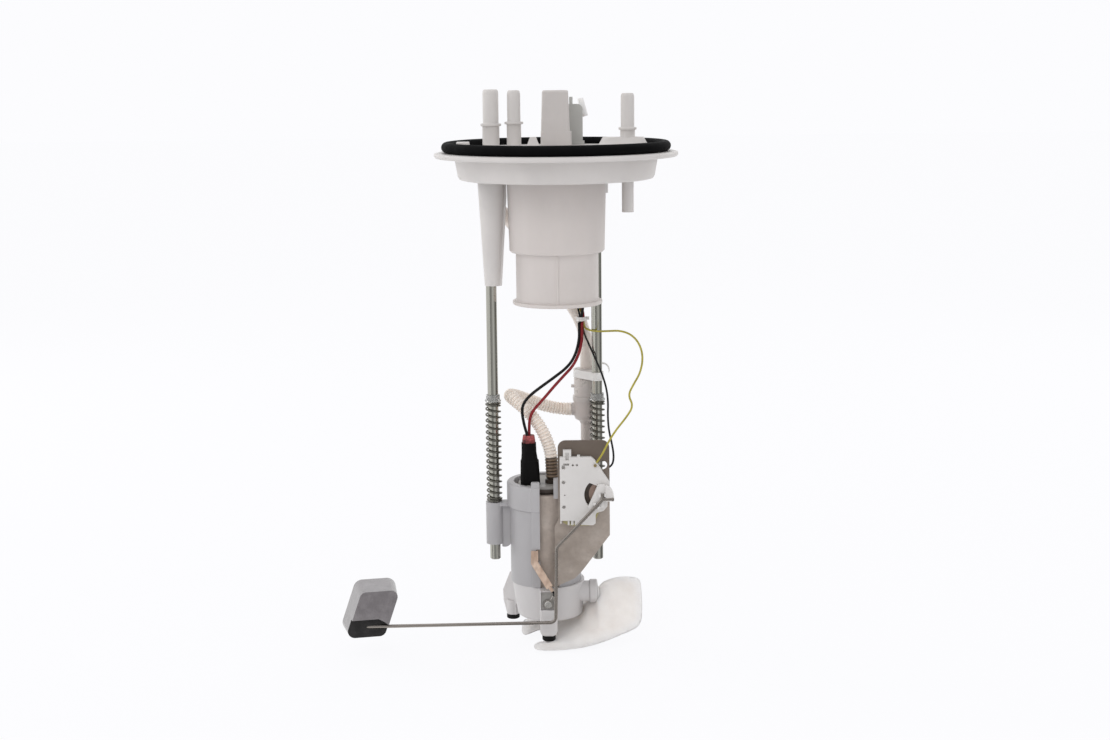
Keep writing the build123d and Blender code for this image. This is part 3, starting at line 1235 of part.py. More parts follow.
def float_block():
    """Leaning foam float, its lower front cut back round the arm's end."""
    ex, ey, ez = arm_points()[-1]
    lean = FLOAT_H * math.tan(math.radians(FLOAT_LEAN))
    half = FLOAT_W / 2
    outline = [
        (-half - lean / 2, -FLOAT_H / 2),
        (half - lean / 2, -FLOAT_H / 2),
        (half + lean / 2, FLOAT_H / 2),
        (-half + lean / 2, FLOAT_H / 2),
    ]
    face = make_face(Polyline(*outline, close=True))
    face = fillet(face.vertices(), FLOAT_CORNER)
    body = Rot(-90, 0, 0) * Pos(0, 0, -FLOAT_D / 2) * extrude(mirror(face, Plane.XZ), FLOAT_D, taper=-FLOAT_DRAFT)
    front = -FLOAT_D / 2
    seat_z = -FLOAT_H / 2 + FLOAT_SEAT
    edge_z = seat_z + FLOAT_EDGE
    side = half - lean / 2 + 0.3 * FLOAT_H * math.tan(math.radians(FLOAT_LEAN))
    cut = [
        (-3 * half, -FLOAT_H),
        (3 * half, -FLOAT_H),
        (3 * half, edge_z - 5.0),
        (side, edge_z - 4.6),
        (side - 2.6, edge_z - 2.2),
        (side - 6.4, edge_z),
        (-3 * half, edge_z),
    ]
    body -= xz_sheet(cut, front - 1, FLOAT_STEP + 1)
    place = Pos(ex + 2.1, ey + FLOAT_D / 2 - FLOAT_STEP - 0.4, ez - seat_z) * Rot(0, 0, FLOAT_YAW)
    body = place * body
    points = arm_points()
    a, b = Vector(*points[-2]), Vector(*points[-1])
    run = (b - a).normalized()
    far = b + run * 0.5
    near = b - run * 60
    groove = Plane(origin=near, z_dir=run) * Cylinder(
        ARM_WIRE_R + FIT, (far - near).length, align=(Align.CENTER, Align.CENTER, Align.MIN)
    )
    body = max((body - groove).solids(), key=lambda s: s.volume)
    export("sender_float", body)


def wiper_contact():
    """Sprung contact on the rotor's back, running in the housing's pocket."""
    y0 = HUB_BACK_Y + FIT
    y1 = HOUSING_FRONT_Y + FIT + 2.4
    body = Rot(0, -WIPER_TILT, 0) * block(-6.2, -ISLAND_R - 0.3, y0, y1, -0.9, 0.9)
    export("wiper_contact", Pos(PIVOT_X, 0, PIVOT_Z) * body)


# ================================================================ strainer
def strainer():
    """Filter sock: flat under the front leg, standing up to the inlet at the right."""
    stations = [
        (-22.5, -15.0, -286.6, 11.0, -285.4, 1.4),
        (-12.0, -35.5, -288.4, 15.0, -285.6, 1.8),
        (1.0, -37.5, -288.6, 15.5, -284.4, 2.2),
        (12.0, -35.5, -288.2, 13.5, -280.8, 3.0),
        (20.0, -33.0, -287.2, 10.5, -273.4, 4.2),
        (27.0, -30.2, -285.8, 8.6, -262.4, 6.2),
        (37.0, -26.4, -283.2, 8.0, -257.6, 6.0),
        (49.5, -18.6, -279.6, 6.0, -257.4, 2.4),
    ]
    sections = []
    for x, y0, z0, y1, z1, t in stations:
        length = math.hypot(y1 - y0, z1 - z0)
        run = Vector(0, y1 - y0, z1 - z0).normalized()
        plane = Plane(origin=(x, (y0 + y1) / 2, (z0 + z1) / 2), x_dir=run, z_dir=Vector(1, 0, 0))
        sections.append(plane * Ellipse(length / 2, t / 2))
    body = loft(sections, ruled=True)
    export("strainer", body)


def strainer_collar():
    """Inlet ring that the sock is welded to."""
    x0 = PORT_X1 + FIT
    ring = Pos(x0, PORT_CY, PORT_CZ) * Rot(0, 90, 0) * Cylinder(
        INLET_COLLAR_R, INLET_COLLAR_L, align=(Align.CENTER, Align.CENTER, Align.MIN)
    )
    ring = fillet(ring.edges().filter_by(GeomType.CIRCLE), 0.7)
    ring -= Pos(x0 - 1, PORT_CY, PORT_CZ - 1.0) * Rot(0, 90, 0) * Cylinder(
        INLET_R - 2.4, INLET_COLLAR_L + 2, align=(Align.CENTER, Align.CENTER, Align.MIN)
    )
    export("strainer_collar", ring)


# ================================================================ cords
def outlet_hose():
    x0 = REG_X - REG_R - 1.4
    points = [
        (x0, REG_Y, REG_OUT_Z),
        (2.8, REG_Y, REG_OUT_Z),
        (-6.5, 35.0, -155.6),
        (-15.8, 30.6, -151.6),
        (-24.2, 24.6, -147.2),
        (-29.6, 16.6, -144.4),
        (-28.8, 8.2, -144.4),
        (-22.8, 2.4, -148.2),
        (-15.2, -1.2, -155.0),
        (-9.0, -3.6, -164.4),
        (BARB_X - 0.8, BARB_Y + 0.4, -174.6),
        (BARB_X, BARB_Y, -184.0),
        (BARB_X, BARB_Y + 0.01, PUMP_CAP_TOP + 3.4),
    ]
    cord("outlet_hose", points, 2 * HOSE_R, HOSE_BORE)


def lead_starts():
    """Where the four leads leave the loom."""
    z = LOOM_END - FIT
    return {
        "black": (LOOM_X - 1.2, LOOM_Y - 0.7, z),
        "red": (LOOM_X + 0.6, LOOM_Y - 1.2, z),
        "signal": (LOOM_X + 1.7, LOOM_Y + 0.3, z),
        "ground": (LOOM_X + 0.7, LOOM_Y + 1.5, z),
    }


def leads():
    starts = lead_starts()
    (bx, by), (rx, ry) = power_exits()
    z = BOOT_TOP + GROMMET_H - 1.9
    sx, sy, sz = starts["black"]
    black = [
        (sx, sy, sz),
        (sx, sy, sz - 6.0),
        (sx - 0.3, 24.0, -114.8),
        (7.0, 14.0, -126.2),
        (1.1, 8.6, -129.8),
        (-4.7, 4.0, -133.4),
        (-12.2, -1.2, -138.0),
        (-18.0, -5.0, -142.0),
        (-21.4, -7.8, -146.2),
        (-21.9, -8.8, -151.0),
        (-20.7, -8.6, -158.4),
        (bx, by, -165.0),
        (bx, by, z),
    ]
    cord("power_wire_black", black, POWER_D)
    sx, sy, sz = starts["red"]
    red = [
        (sx, sy, sz),
        (sx, sy, sz - 7.0),
        (sx - 0.2, 22.8, -115.6),
        (9.6, 14.0, -126.6),
        (4.5, 10.0, -131.2),
        (-1.7, 4.6, -137.6),
        (-10.1, -1.8, -145.2),
        (-15.0, -5.0, -149.9),
        (-17.4, -6.0, -154.6),
        (rx, ry, -161.6),
        (rx, ry, z),
    ]
    cord("power_wire_red", red, POWER_D)
    sx, sy, sz = starts["signal"]
    signal = [
        (sx, sy, sz),
        (sx, sy - 0.2, sz - 2.6),
        (18.4, 25.0, -106.4),
        (23.4, 16.4, -106.2),
        (30.1, 8.0, -104.8),
        (37.1, 3.0, -103.8),
        (43.8, -1.0, -105.6),
        (48.6, -4.0, -111.0),
        (50.4, -7.0, -118.6),
        (48.6, -11.0, -127.0),
        (44.4, -14.0, -134.0),
        (41.9, -17.0, -140.0),
        (42.7, -19.0, -146.0),
        (39.0, -21.6, -152.4),
        (33.4, -24.6, -158.8),
        (28.6, -28.0, -165.6),
        (24.8, -31.4, -172.6),
        (TERM_X + 0.7, HOUSING_FRONT_Y - 1.9, TERM_Z + 2.0),
    ]
    cord("sender_signal_wire", signal, SENDER_D)
    sx, sy, sz = starts["ground"]
    ground = [
        (sx, sy, sz),
        (sx + 0.4, sy - 0.4, sz - 5.0),
        (18.6, 25.0, -114.6),
        (22.2, 18.4, -122.2),
        (25.9, 13.6, -130.1),
        (28.8, 9.4, -138.6),
        (29.9, 4.8, -146.9),
        (29.4, -0.6, -155.2),
        (29.8, -6.4, -162.5),
        (31.4, -12.0, -169.2),
        (32.4, -17.2, -175.2),
        (31.8, -20.4, -179.8),
        (29.6, PLATE_BACK_Y + 2.0, -181.6),
        (PIVOT_X + 3.1, PLATE_BACK_Y + 1.3, PIVOT_Z + 13.6 + SENDER_D / 2 + FIT),
    ]
    cord("sender_ground_wire", ground, SENDER_D)


def main():
    flange_plate()
    seal_ring()
    connector_shell()
    connector_terminals()
    pressure_sensor()
    sensor_elbow()
    vent_valve_body()
    vent_valve_cage()
    vent_float()
    guide_rods()
    rod_stop_rings()
    springs()
    spring_retainers()
    regulator_body()
    regulator_cap()
    regulator_clip()
    feed_pipe()
    wire_loom()
    cable_tie()
    pump_sleeve()
    lower_cup()
    rubber_feet()
    ground_tab()
    ground_screw()
    ground_terminal()
    ground_strap()
    ground_wire()
    pump_can()
    pump_top_cap()
    outlet_barb()
    motor()
    connector_boot()
    wire_grommet()
    sender_bracket()
    sender_housing()
    resistor_card()
    sender_terminals()
    sender_rotor()
    float_arm()
    float_block()
    wiper_contact()
    strainer()
    strainer_collar()
    outlet_hose()
    leads()


main()
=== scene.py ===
import math
from collections import namedtuple

import bmesh
import bpy
from mathutils import Matrix, Vector, noise
from mathutils.geometry import delaunay_2d_cdt


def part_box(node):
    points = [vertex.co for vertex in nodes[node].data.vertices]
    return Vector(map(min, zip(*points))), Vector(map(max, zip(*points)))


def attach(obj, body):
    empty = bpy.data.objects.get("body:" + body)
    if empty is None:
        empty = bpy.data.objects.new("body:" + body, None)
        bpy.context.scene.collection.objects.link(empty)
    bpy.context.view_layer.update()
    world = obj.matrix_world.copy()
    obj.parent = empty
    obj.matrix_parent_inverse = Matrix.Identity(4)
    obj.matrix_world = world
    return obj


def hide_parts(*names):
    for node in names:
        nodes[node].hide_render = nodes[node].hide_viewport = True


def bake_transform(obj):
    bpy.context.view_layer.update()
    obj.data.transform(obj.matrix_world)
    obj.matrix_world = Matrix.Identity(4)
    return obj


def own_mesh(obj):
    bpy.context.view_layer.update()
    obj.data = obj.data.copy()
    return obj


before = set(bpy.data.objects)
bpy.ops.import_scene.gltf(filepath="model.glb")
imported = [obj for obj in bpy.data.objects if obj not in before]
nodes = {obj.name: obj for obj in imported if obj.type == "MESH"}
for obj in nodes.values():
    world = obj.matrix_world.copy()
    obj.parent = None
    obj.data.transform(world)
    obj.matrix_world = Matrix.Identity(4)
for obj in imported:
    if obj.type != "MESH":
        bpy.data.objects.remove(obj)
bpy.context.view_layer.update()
MM = 0.001


# ------------------------------------------------------------------ node graphs
COAT_ROUGH = 0.2
SCATTER_REACH = (1.0, 0.95, 0.9)


def rgb(r, g, b):
    """sRGB 0-255 to the linear colour a shader takes."""
    out = []
    for v in (r, g, b):
        v = v / 255
        out.append(v / 12.92 if v <= 0.04045 else ((v + 0.055) / 1.055) ** 2.4)
    return (*out, 1.0)


def shade(c, k):
    """The same colour, k times as light."""
    return (c[0] * k, c[1] * k, c[2] * k, 1.0)


class Graph:
    """Short calls that build one node tree; a value is a constant or another node's output."""

    def __init__(self, tree):
        self.tree = tree

    def feed(self, socket, value):
        if isinstance(value, bpy.types.NodeSocket):
            self.tree.links.new(value, socket)
        else:
            socket.default_value = value

    def node(self, kind, **inputs):
        n = self.tree.nodes.new(kind)
        for name, value in inputs.items():
            self.feed(n.inputs[name], value)
        return n

    def math(self, op, a, b=0.0):
        n = self.node("ShaderNodeMath")
        n.operation = op
        self.feed(n.inputs[0], a)
        self.feed(n.inputs[1], b)
        return n.outputs[0]

    def span(self, fac, a, b, lo, hi):
        """fac from a..b to lo..hi, clamped."""
        limits = {"From Min": a, "From Max": b, "To Min": lo, "To Max": hi}
        return self.node("ShaderNodeMapRange", Value=fac, **limits).outputs["Result"]

    def mix(self, fac, a, b):
        """Colour a where fac is 0, b where it is 1."""
        n = self.node("ShaderNodeMix")
        n.data_type = "RGBA"
        for socket, value in ((n.inputs[0], fac), (n.inputs[6], a), (n.inputs[7], b)):
            self.feed(socket, value)
        return n.outputs[2]

    def mix_shader(self, fac, a, b):
        n = self.node("ShaderNodeMixShader")
        for socket, value in zip(n.inputs, (fac, a, b)):
            self.feed(socket, value)
        return n.outputs[0]

    def ramp(self, fac, stops):
        """Colours between the stops, which run from 0 to 1."""
        n = self.node("ShaderNodeValToRGB", Fac=fac)
        marks = n.color_ramp.elements
        for i, (position, colour) in enumerate(stops):
            mark = marks[0] if i == 0 else marks[-1] if i == len(stops) - 1 else marks.new(position)
            mark.position = position
            mark.color = colour
        return n.outputs["Color"]


class Mat(Graph):
    """One Principled material whose patterns lie in the piece's own coordinates."""

    def __init__(self, name, rough=0.4, metallic=0.0, spec=0.5, coat=0.0, sheen=0.0, sss=0.0, sss_r=2.0,
                 trans=0.0, ior=1.48):
        self.mat = bpy.data.materials.new(name)
        self.mat.use_nodes = True
        super().__init__(self.mat.node_tree)
        self.bsdf = self.tree.nodes["Principled BSDF"]
        values = {
            "Roughness": rough, "Metallic": metallic, "Specular IOR Level": spec, "Coat Weight": coat,
            "Coat Roughness": COAT_ROUGH, "Sheen Weight": sheen, "IOR": ior, "Transmission Weight": trans,
        }
        if sss:
            values["Subsurface Weight"] = sss
            values["Subsurface Scale"] = sss_r * MM
            values["Subsurface Radius"] = SCATTER_REACH
        for socket, value in values.items():
            self.bsdf.inputs[socket].default_value = value
        place = self.node("ShaderNodeTexCoord")
        self.coord = place.outputs["Object"]
        self.normal = place.outputs["Normal"]

    def noise(self, scale, detail=3.0, rough=0.55, stretch=None, distortion=0.0):
        source = self.coord
        if stretch:
            source = self.node("ShaderNodeMapping", Vector=source, Scale=stretch).outputs["Vector"]
        return self.node("ShaderNodeTexNoise", Vector=source, Scale=scale, Detail=detail, Roughness=rough,
                         Distortion=distortion).outputs["Fac"]

    def voronoi(self, scale, rand=1.0):
        """Distance from the nearest of many scattered points."""
        return self.node("ShaderNodeTexVoronoi", Vector=self.coord, Scale=scale,
                         Randomness=rand).outputs["Distance"]

    def mottle(self, cloud, a, b):
        """Soft patches of colour b in colour a."""
        return self.mix(self.span(cloud, 0.35, 0.7, 0, 1), a, b)

    def axis(self, i):
        return self.node("ShaderNodeSeparateXYZ", Vector=self.coord).outputs[i]

    def from_line(self, first, second, at):
        """Distance from a line along the third axis; at holds its place on the other two."""
        da = self.math("SUBTRACT", self.axis(first), at[0])
        db = self.math("SUBTRACT", self.axis(second), at[1])
        squares = self.math("ADD", self.math("MULTIPLY", da, da), self.math("MULTIPLY", db, db))
        return self.math("SQRT", squares)

    def along(self, vector, direction):
        """Length of a vector's part in a unit direction."""
        n = self.node("ShaderNodeVectorMath")
        n.operation = "DOT_PRODUCT"
        self.feed(n.inputs[0], vector)
        self.feed(n.inputs[1], direction)
        return n.outputs["Value"]

    def attr(self, name):
        n = self.node("ShaderNodeAttribute")
        n.attribute_name = name
        return n.outputs["Fac"]

    def bump(self, height, strength, dist):
        """Adds a relief to those that are already there."""
        socket = self.bsdf.inputs["Normal"]
        relief = self.node("ShaderNodeBump", Height=height, Strength=strength, Distance=dist)
        if socket.is_linked:
            self.feed(relief.inputs["Normal"], socket.links[0].from_socket)
        self.feed(socket, relief.outputs["Normal"])

    def colour(self, value):
        self.feed(self.bsdf.inputs["Base Color"], value)

    def rough(self, value):
        self.feed(self.bsdf.inputs["Roughness"], value)


# ------------------------------------------------------------------ materials
def moulded(name, c, rough=0.42, sss=0.12, warm=0.0, streaks=0.0):
    """Moulded plastic: faint flow marks, a fine orange-peel surface, slightly uneven gloss."""
    m = Mat(name, rough=rough, sss=sss, sss_r=2.5, spec=0.45)
    cloud = m.noise(38, 4, 0.6)
    flow = m.noise(90, 3, 0.5, (1, 1, 0.22))
    base = m.mix(m.span(cloud, 0.3, 0.7, 0, 1), shade(c, 0.95), shade(c, 1.03))
    if warm:
        aged = shade((c[0], c[1] * 0.95, c[2] * 0.87), 0.94)
        base = m.mix(m.span(flow, 0.45, 0.75, 0, warm), base, aged)
    if streaks:
        runs = m.noise(55, 2, 0.4, (1, 1, 0.12))
        base = m.mix(m.span(runs, 0.3, 0.7, 0, 1), base, shade(c, 1 - streaks))
    m.colour(base)
    m.rough(m.span(flow, 0.3, 0.7, rough - 0.05, rough + 0.07))
    m.bump(m.noise(900, 2, 0.5), 0.06, 0.00025)
    m.bump(m.noise(140, 3, 0.5), 0.05, 0.0006)
    return m.mat


def rubber(name, c, rough=0.55, spec=0.4, dust=0.25):
    """Dark rubber with a fine grain and a little pale dust."""
    m = Mat(name, rough=rough, spec=spec)
    cloud = m.noise(120, 4, 0.65)
    m.colour(m.mix(m.span(cloud, 0.45, 0.8, 0, dust), c, shade(c, 2.6)))
    m.rough(m.span(cloud, 0.3, 0.7, rough - 0.08, rough + 0.1))
    m.bump(m.noise(1500, 2, 0.6), 0.12, 0.0002)
    return m.mat


GROMMET_MIDDLE = (-0.0181, -0.0068)
GROMMET_TOP = -0.1672


def grommet_rubber():
    """Pink silicone seal, with painted shade round the leads where they pass into it and down its side."""
    m = Mat("grommet_rubber", rough=0.5, spec=0.35)
    cloud = m.noise(420, 4, 0.65)
    pink = m.mix(m.span(cloud, 0.4, 0.62, 0, 1), rgb(186, 92, 92), rgb(92, 44, 44))
    # painted shade: dark round the leads in the seal's middle, and darker down the side below its top
    lead_hole_shade = m.span(m.from_line(0, 1, GROMMET_MIDDLE), 0.0022, 0.0026, 0.75, 0)
    side = m.span(m.axis(2), GROMMET_TOP, GROMMET_TOP - 0.0006, 0, 0.55)
    m.colour(m.mix(side, m.mix(lead_hole_shade, pink, rgb(40, 22, 22)), rgb(60, 26, 26)))
    m.bump(cloud, 0.2, 0.0003)
    return m.mat


def steel(name, c, rough=0.28, stain=0.2, grain=1.0):
    """Bare or plated metal with fine drawing marks and dull stains."""
    m = Mat(name, rough=rough, metallic=1.0)
    cloud = m.noise(95, 5, 0.6)
    lines = m.noise(700, 2, 0.5)
    base = m.mix(m.span(cloud, 0.42, 0.75, 0, stain), c, shade(c, 0.62))
    base = m.mix(m.span(lines, 0.35, 0.7, 0, 0.16), base, shade(c, 0.78))
    m.colour(base)
    m.rough(m.span(m.math("ADD", cloud, lines), 0.7, 1.3, rough - 0.06, rough + 0.14))
    m.bump(lines, 0.05 * grain, 0.00006)
    return m.mat


CAP_EDGE = -0.1960


def pump_cap():
    """Grey moulded end piece, its side painted browner and darker as shade."""
    m = Mat("pump_cap_plastic", rough=0.42, spec=0.45)
    cloud = m.noise(70, 4, 0.6)
    top = m.mottle(cloud, rgb(150, 147, 143), rgb(138, 134, 129))
    # painted shade: the side below the top edge is given a darker, browner colour
    side = m.mottle(cloud, rgb(78, 69, 63), rgb(64, 57, 52))
    m.colour(m.mix(m.span(m.axis(2), CAP_EDGE - 0.0004, CAP_EDGE, 0, 1), side, top))
    m.bump(m.noise(700, 2, 0.5), 0.06, 0.0002)
    return m.mat


def rod_metal():
    """Ground and plated guide rod: fine rings from grinding, faint run marks along it."""
    m = Mat("rod_plated", rough=0.14, metallic=1.0)
    rings = m.noise(1400, 2, 0.5, (0.05, 0.05, 1))
    runs = m.noise(500, 3, 0.55, (1, 1, 0.01))
    base = m.mix(m.span(runs, 0.4, 0.7, 0, 0.35), rgb(190, 189, 181), rgb(158, 156, 146))
    m.colour(base)
    m.rough(m.span(m.math("ADD", rings, runs), 0.7, 1.3, 0.1, 0.26))
    m.bump(rings, 0.05, 0.00005)
    return m.mat


def galvanised(name, metallic, rough, top=None, light=1.0):
    """Mottled zinc-coated sheet; top = (from z, to z, share) darkens its upper end as painted shade."""
    m = Mat(name, rough=rough, metallic=metallic)
    big = m.noise(60, 5, 0.6)
    spangle = m.voronoi(260)
    fine = m.noise(600, 4, 0.6)
    base = m.ramp(m.span(big, 0.32, 0.68, 0, 1),
                  [(0.0, shade(rgb(166, 154, 144), light)), (0.5, shade(rgb(182, 170, 160), light)),
                   (1.0, shade(rgb(196, 186, 177), light))])
    base = m.mix(m.span(spangle, 0.1, 0.7, 0.0, 0.22), base, rgb(148, 137, 128))
    base = m.mix(m.span(fine, 0.5, 0.8, 0, 0.3), base, rgb(142, 129, 118))
    if top:
        # painted shade: the upper end darkened towards a dark brown
        base = m.mix(m.span(m.axis(2), top[0], top[1], 0.0, top[2]), base, rgb(104, 92, 82))
    m.colour(base)
    m.rough(m.span(big, 0.3, 0.7, rough - 0.06, rough + 0.1))
    m.bump(fine, 0.1, 0.00015)
    m.bump(big, 0.08, 0.0006)
    return m.mat


def milky(name, c, trans, rough, sss=0.3, wavy=0.08):
    """Natural, half-clear plastic."""
    m = Mat(name, rough=rough, trans=trans, sss=sss, sss_r=3.5, ior=1.5)
    cloud = m.noise(70, 4, 0.6)
    m.colour(m.mottle(cloud, shade(c, 1.04), shade(c, 0.9)))
    m.rough(m.span(cloud, 0.3, 0.7, rough - 0.05, rough + 0.08))
    m.bump(m.noise(260, 3, 0.5), wavy, 0.0003)
    return m.mat


def hose_nylon():
    """Corrugated nylon, cream, browned where it grips the dark barb; its grooves are painted darker as
    shade.
    """
    m = Mat("hose_nylon", rough=0.32, sss=0.25, sss_r=2.5)
    cloud = m.noise(110, 4, 0.6)
    cream = m.mottle(cloud, rgb(246, 237, 228), rgb(238, 226, 214))
    crest = m.attr("crest")
    # painted shade: the grooves darker than the crests
    cream = m.mix(m.span(crest, 0, 1, 0.3, 0.0), cream, rgb(214, 196, 179))
    # the gripped end shows the dark barb through it, with painted shade in the grooves
    dark = m.mix(m.span(crest, 0, 1, 0, 1), rgb(66, 53, 42), rgb(132, 113, 94))
    m.colour(m.mix(m.attr("grip"), cream, dark))
    m.bump(m.noise(500, 2, 0.5), 0.03, 0.0001)
    return m.mat


def insulation(name, c, rough=0.38):
    m = Mat(name, rough=rough, spec=0.3)
    cloud = m.noise(260, 3, 0.6)
    m.colour(m.mix(m.span(cloud, 0.35, 0.75, 0, 1), c, shade(c, 1.35)))
    m.rough(m.span(cloud, 0.3, 0.7, rough - 0.06, rough + 0.1))
    m.bump(m.noise(900, 2, 0.5), 0.08, 0.0001)
    return m.mat


FLOAT_FRONT = (0.2079, -0.9781, 0.0)
FLOAT_RECESS = 0.0205


def foam():
    """Closed-cell float foam: shiny moulded skin with fine pores; the recess is rough, uncoated and painted
    dark as shade.
    """
    m = Mat("float_foam", rough=0.5, spec=0.45, coat=1.0, sheen=0.1)
    pores = m.voronoi(1500)
    cloud = m.noise(160, 4, 0.65)
    base = m.mottle(cloud, rgb(110, 105, 107), rgb(128, 123, 125))
    base = m.mix(m.span(pores, 0.0, 0.35, 0.35, 0.0), base, rgb(62, 59, 60))
    # painted shade: the set-back front face of the recess is coloured dark
    facing = m.span(m.along(m.normal, FLOAT_FRONT), 0.8, 0.9, 0.0, 1.0)
    behind = m.span(m.along(m.coord, FLOAT_FRONT), FLOAT_RECESS, FLOAT_RECESS + 0.0004, 1.0, 0.0)
    recess = m.math("MULTIPLY", facing, behind)
    inside = m.mottle(cloud, rgb(30, 29, 29), rgb(46, 44, 44))
    m.colour(m.mix(recess, base, inside))
    m.rough(m.span(recess, 0, 1, 0.5, 0.85))
    m.feed(m.bsdf.inputs["Coat Weight"], m.span(recess, 0, 1, 1.0, 0.0))
    m.bump(m.span(pores, 0, 0.5, 0, 1), 0.25, 0.0002)
    m.bump(cloud, 0.12, 0.0005)
    return m.mat


def strip_metal():
    """Tinned copper strip, pale tan, its own tan partly lightened as painted light for the light it catches;
    drawn lines along it and darker worn patches.
    """
    m = Mat("tinned_strip", rough=0.42, metallic=0.3)
    cloud = m.noise(150, 5, 0.6)
    lines = m.noise(420, 3, 0.6, (1, 1, 0.25))
    # partly painted light: the pale tans are lightened for the light the strip catches
    base = m.mix(m.span(cloud, 0.35, 0.65, 0, 1), rgb(222, 199, 180), rgb(194, 166, 146))
    m.colour(m.mix(m.span(lines, 0.45, 0.7, 0, 0.6), base, rgb(150, 122, 104)))
    m.bump(lines, 0.12, 0.00012)
    return m.mat


def tab_metal():
    """Plated earth tab, with painted shade in a dark ring round the screw head."""
    m = Mat("tab_plated", rough=0.3, metallic=0.8)
    cloud = m.noise(160, 5, 0.6)
    low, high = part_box("ground_screw")
    far = m.from_line(0, 2, ((low[0] + high[0]) / 2, (low[2] + high[2]) / 2))
    head = (high[0] - low[0]) / 2
    base = m.mottle(cloud, rgb(196, 193, 189), rgb(168, 164, 160))
    # painted shade: a dark ring just outside the screw head
    m.colour(m.mix(m.span(far, head + 0.0002, head + 0.0014, 0.9, 0), base, rgb(58, 55, 53)))
    m.bump(cloud, 0.1, 0.0002)
    return m.mat


SENDER_PIN = (0.0247, -0.1966)
POCKET_R = 0.0101
# inner edge of the ring of painted shadow in the pocket
SHADOW_RING_IN = 0.0072


def card():
    """Glazed resistor card: olive substrate; tan inside the housing's pocket, with painted shadow of the
    pocket's wall in a dark ring round its edge.
    """
    m = Mat("card_ceramic", rough=0.4, coat=0.3)
    cloud = m.noise(200, 4, 0.6)
    olive = m.mottle(cloud, rgb(180, 171, 122), rgb(162, 153, 104))
    # painted shadow cast by the pocket's wall
    dark = m.mottle(cloud, rgb(62, 50, 42), rgb(80, 66, 55))
    tan = m.mottle(cloud, rgb(176, 150, 136), rgb(150, 126, 112))
    far = m.from_line(0, 2, SENDER_PIN)
    pocket = m.mix(m.span(far, SHADOW_RING_IN, SHADOW_RING_IN + 0.0004, 0, 1), tan, dark)
    m.colour(m.mix(m.span(far, POCKET_R, POCKET_R + 0.0002, 1, 0), olive, pocket))
    m.bump(m.noise(1200, 2, 0.5), 0.06, 0.0001)
    return m.mat


def nonwoven():
    """Spun-bonded filter cloth: short crossed fibres and fine bonded points."""
    m = Mat("filter_nonwoven", rough=0.8, sheen=0.25, sss=0.6, sss_r=6.0, spec=0.2)
    fibres = m.noise(900, 5, 0.7, (1, 0.35, 1), 1.5)
    cross = m.noise(800, 5, 0.7, (0.3, 1, 1.3), 1.5)
    cloud = m.noise(60, 5, 0.6)
    points = m.voronoi(1100, rand=0.35)
    web = m.math("MAXIMUM", fibres, cross)
    base = m.mottle(cloud, rgb(240, 236, 232), rgb(228, 222, 217))
    base = m.mix(m.span(web, 0.5, 0.75, 0, 0.35), base, rgb(240, 237, 234))
    base = m.mix(m.span(points, 0.0, 0.3, 0.3, 0.0), base, rgb(196, 189, 183))
    m.colour(base)
    m.bump(m.math("ADD", web, m.span(points, 0, 0.4, 0, 0.5)), 0.3, 0.0002)
    return m.mat


SURFACES = {
    "flange": moulded("acetal_flange", rgb(209, 205, 202), 0.36, warm=0.06),
    "connector": moulded("connector_plastic", rgb(204, 199, 196), 0.42, warm=0.05),
    "valve": moulded("acetal_valve", rgb(210, 203, 199), 0.44, sss=0.2, warm=0.1, streaks=0.05),
    "elbow": moulded("milky_elbow", rgb(242, 240, 238), 0.3, sss=0.35),
    "sleeve": moulded("acetal_sleeve", rgb(174, 172, 173), 0.38),
    "cup": moulded("acetal_cup", rgb(205, 202, 201), 0.38),
    "housing": moulded("sender_plastic", rgb(214, 211, 208), 0.42),
    "clip": moulded("clip_plastic", rgb(228, 226, 223), 0.35, sss=0.3),
    "sensor": moulded("grey_plastic", rgb(188, 188, 184), 0.45, sss=0.05),
    "grommet": grommet_rubber(),
    "seal": rubber("seal_rubber", rgb(6, 6, 7), 0.75, spec=0.12, dust=0.03),
    "boot": rubber("boot_rubber", rgb(10, 9, 9), 0.6, spec=0.18, dust=0.08),
    "foot": rubber("foot_rubber", rgb(15, 14, 14), 0.6, spec=0.2, dust=0.1),
    "barb": moulded("barb_plastic", rgb(52, 44, 38), 0.35, sss=0.0),
    "spring": steel("spring_wire", rgb(122, 120, 113), 0.2, stain=0.3, grain=0.4),
    "arm": steel("arm_wire", rgb(160, 153, 147), 0.22, stain=0.25, grain=0.2),
    "lug": steel("lug_steel", rgb(186, 181, 176), 0.24, stain=0.2),
    "screw": steel("screw_steel", rgb(226, 224, 220), 0.2, stain=0.15),
    "brass": steel("terminal_metal", rgb(196, 176, 130), 0.3, stain=0.2),
    "motor": steel("motor_metal", rgb(88, 80, 74), 0.45, stain=0.3),
    "cap": pump_cap(),
    "rod": rod_metal(),
    # the bracket's upper end gets painted shade
    "plate": galvanised("galvanised_sheet", 0.4, 0.42, (-0.205, -0.178, 0.85)),
    "can": galvanised("can_steel", 0.15, 0.4, light=1.14),
    "retainer": milky("clear_retainer", rgb(218, 218, 216), 0.75, 0.15, sss=0.05, wavy=0.02),
    "regulator": milky("regulator_plastic", rgb(214, 205, 200), 0.15, 0.28),
    "regcap": milky("regulator_cap_plastic", rgb(216, 209, 204), 0.2, 0.28),
    "pipe": milky("nylon_pipe", rgb(243, 231, 221), 0.1, 0.3),
    "hose": hose_nylon(),
    "wire_black": insulation("wire_black", rgb(15, 14, 14)),
    "wire_red": insulation("wire_red", rgb(126, 30, 36)),
    "wire_olive": insulation("wire_olive", rgb(158, 148, 62)),
    "loom": insulation("loom_black", rgb(22, 20, 19), 0.5),
    "foam": foam(),
    "strip": strip_metal(),
    "tab": tab_metal(),
    "card": card(),
    "nonwoven": nonwoven(),
}
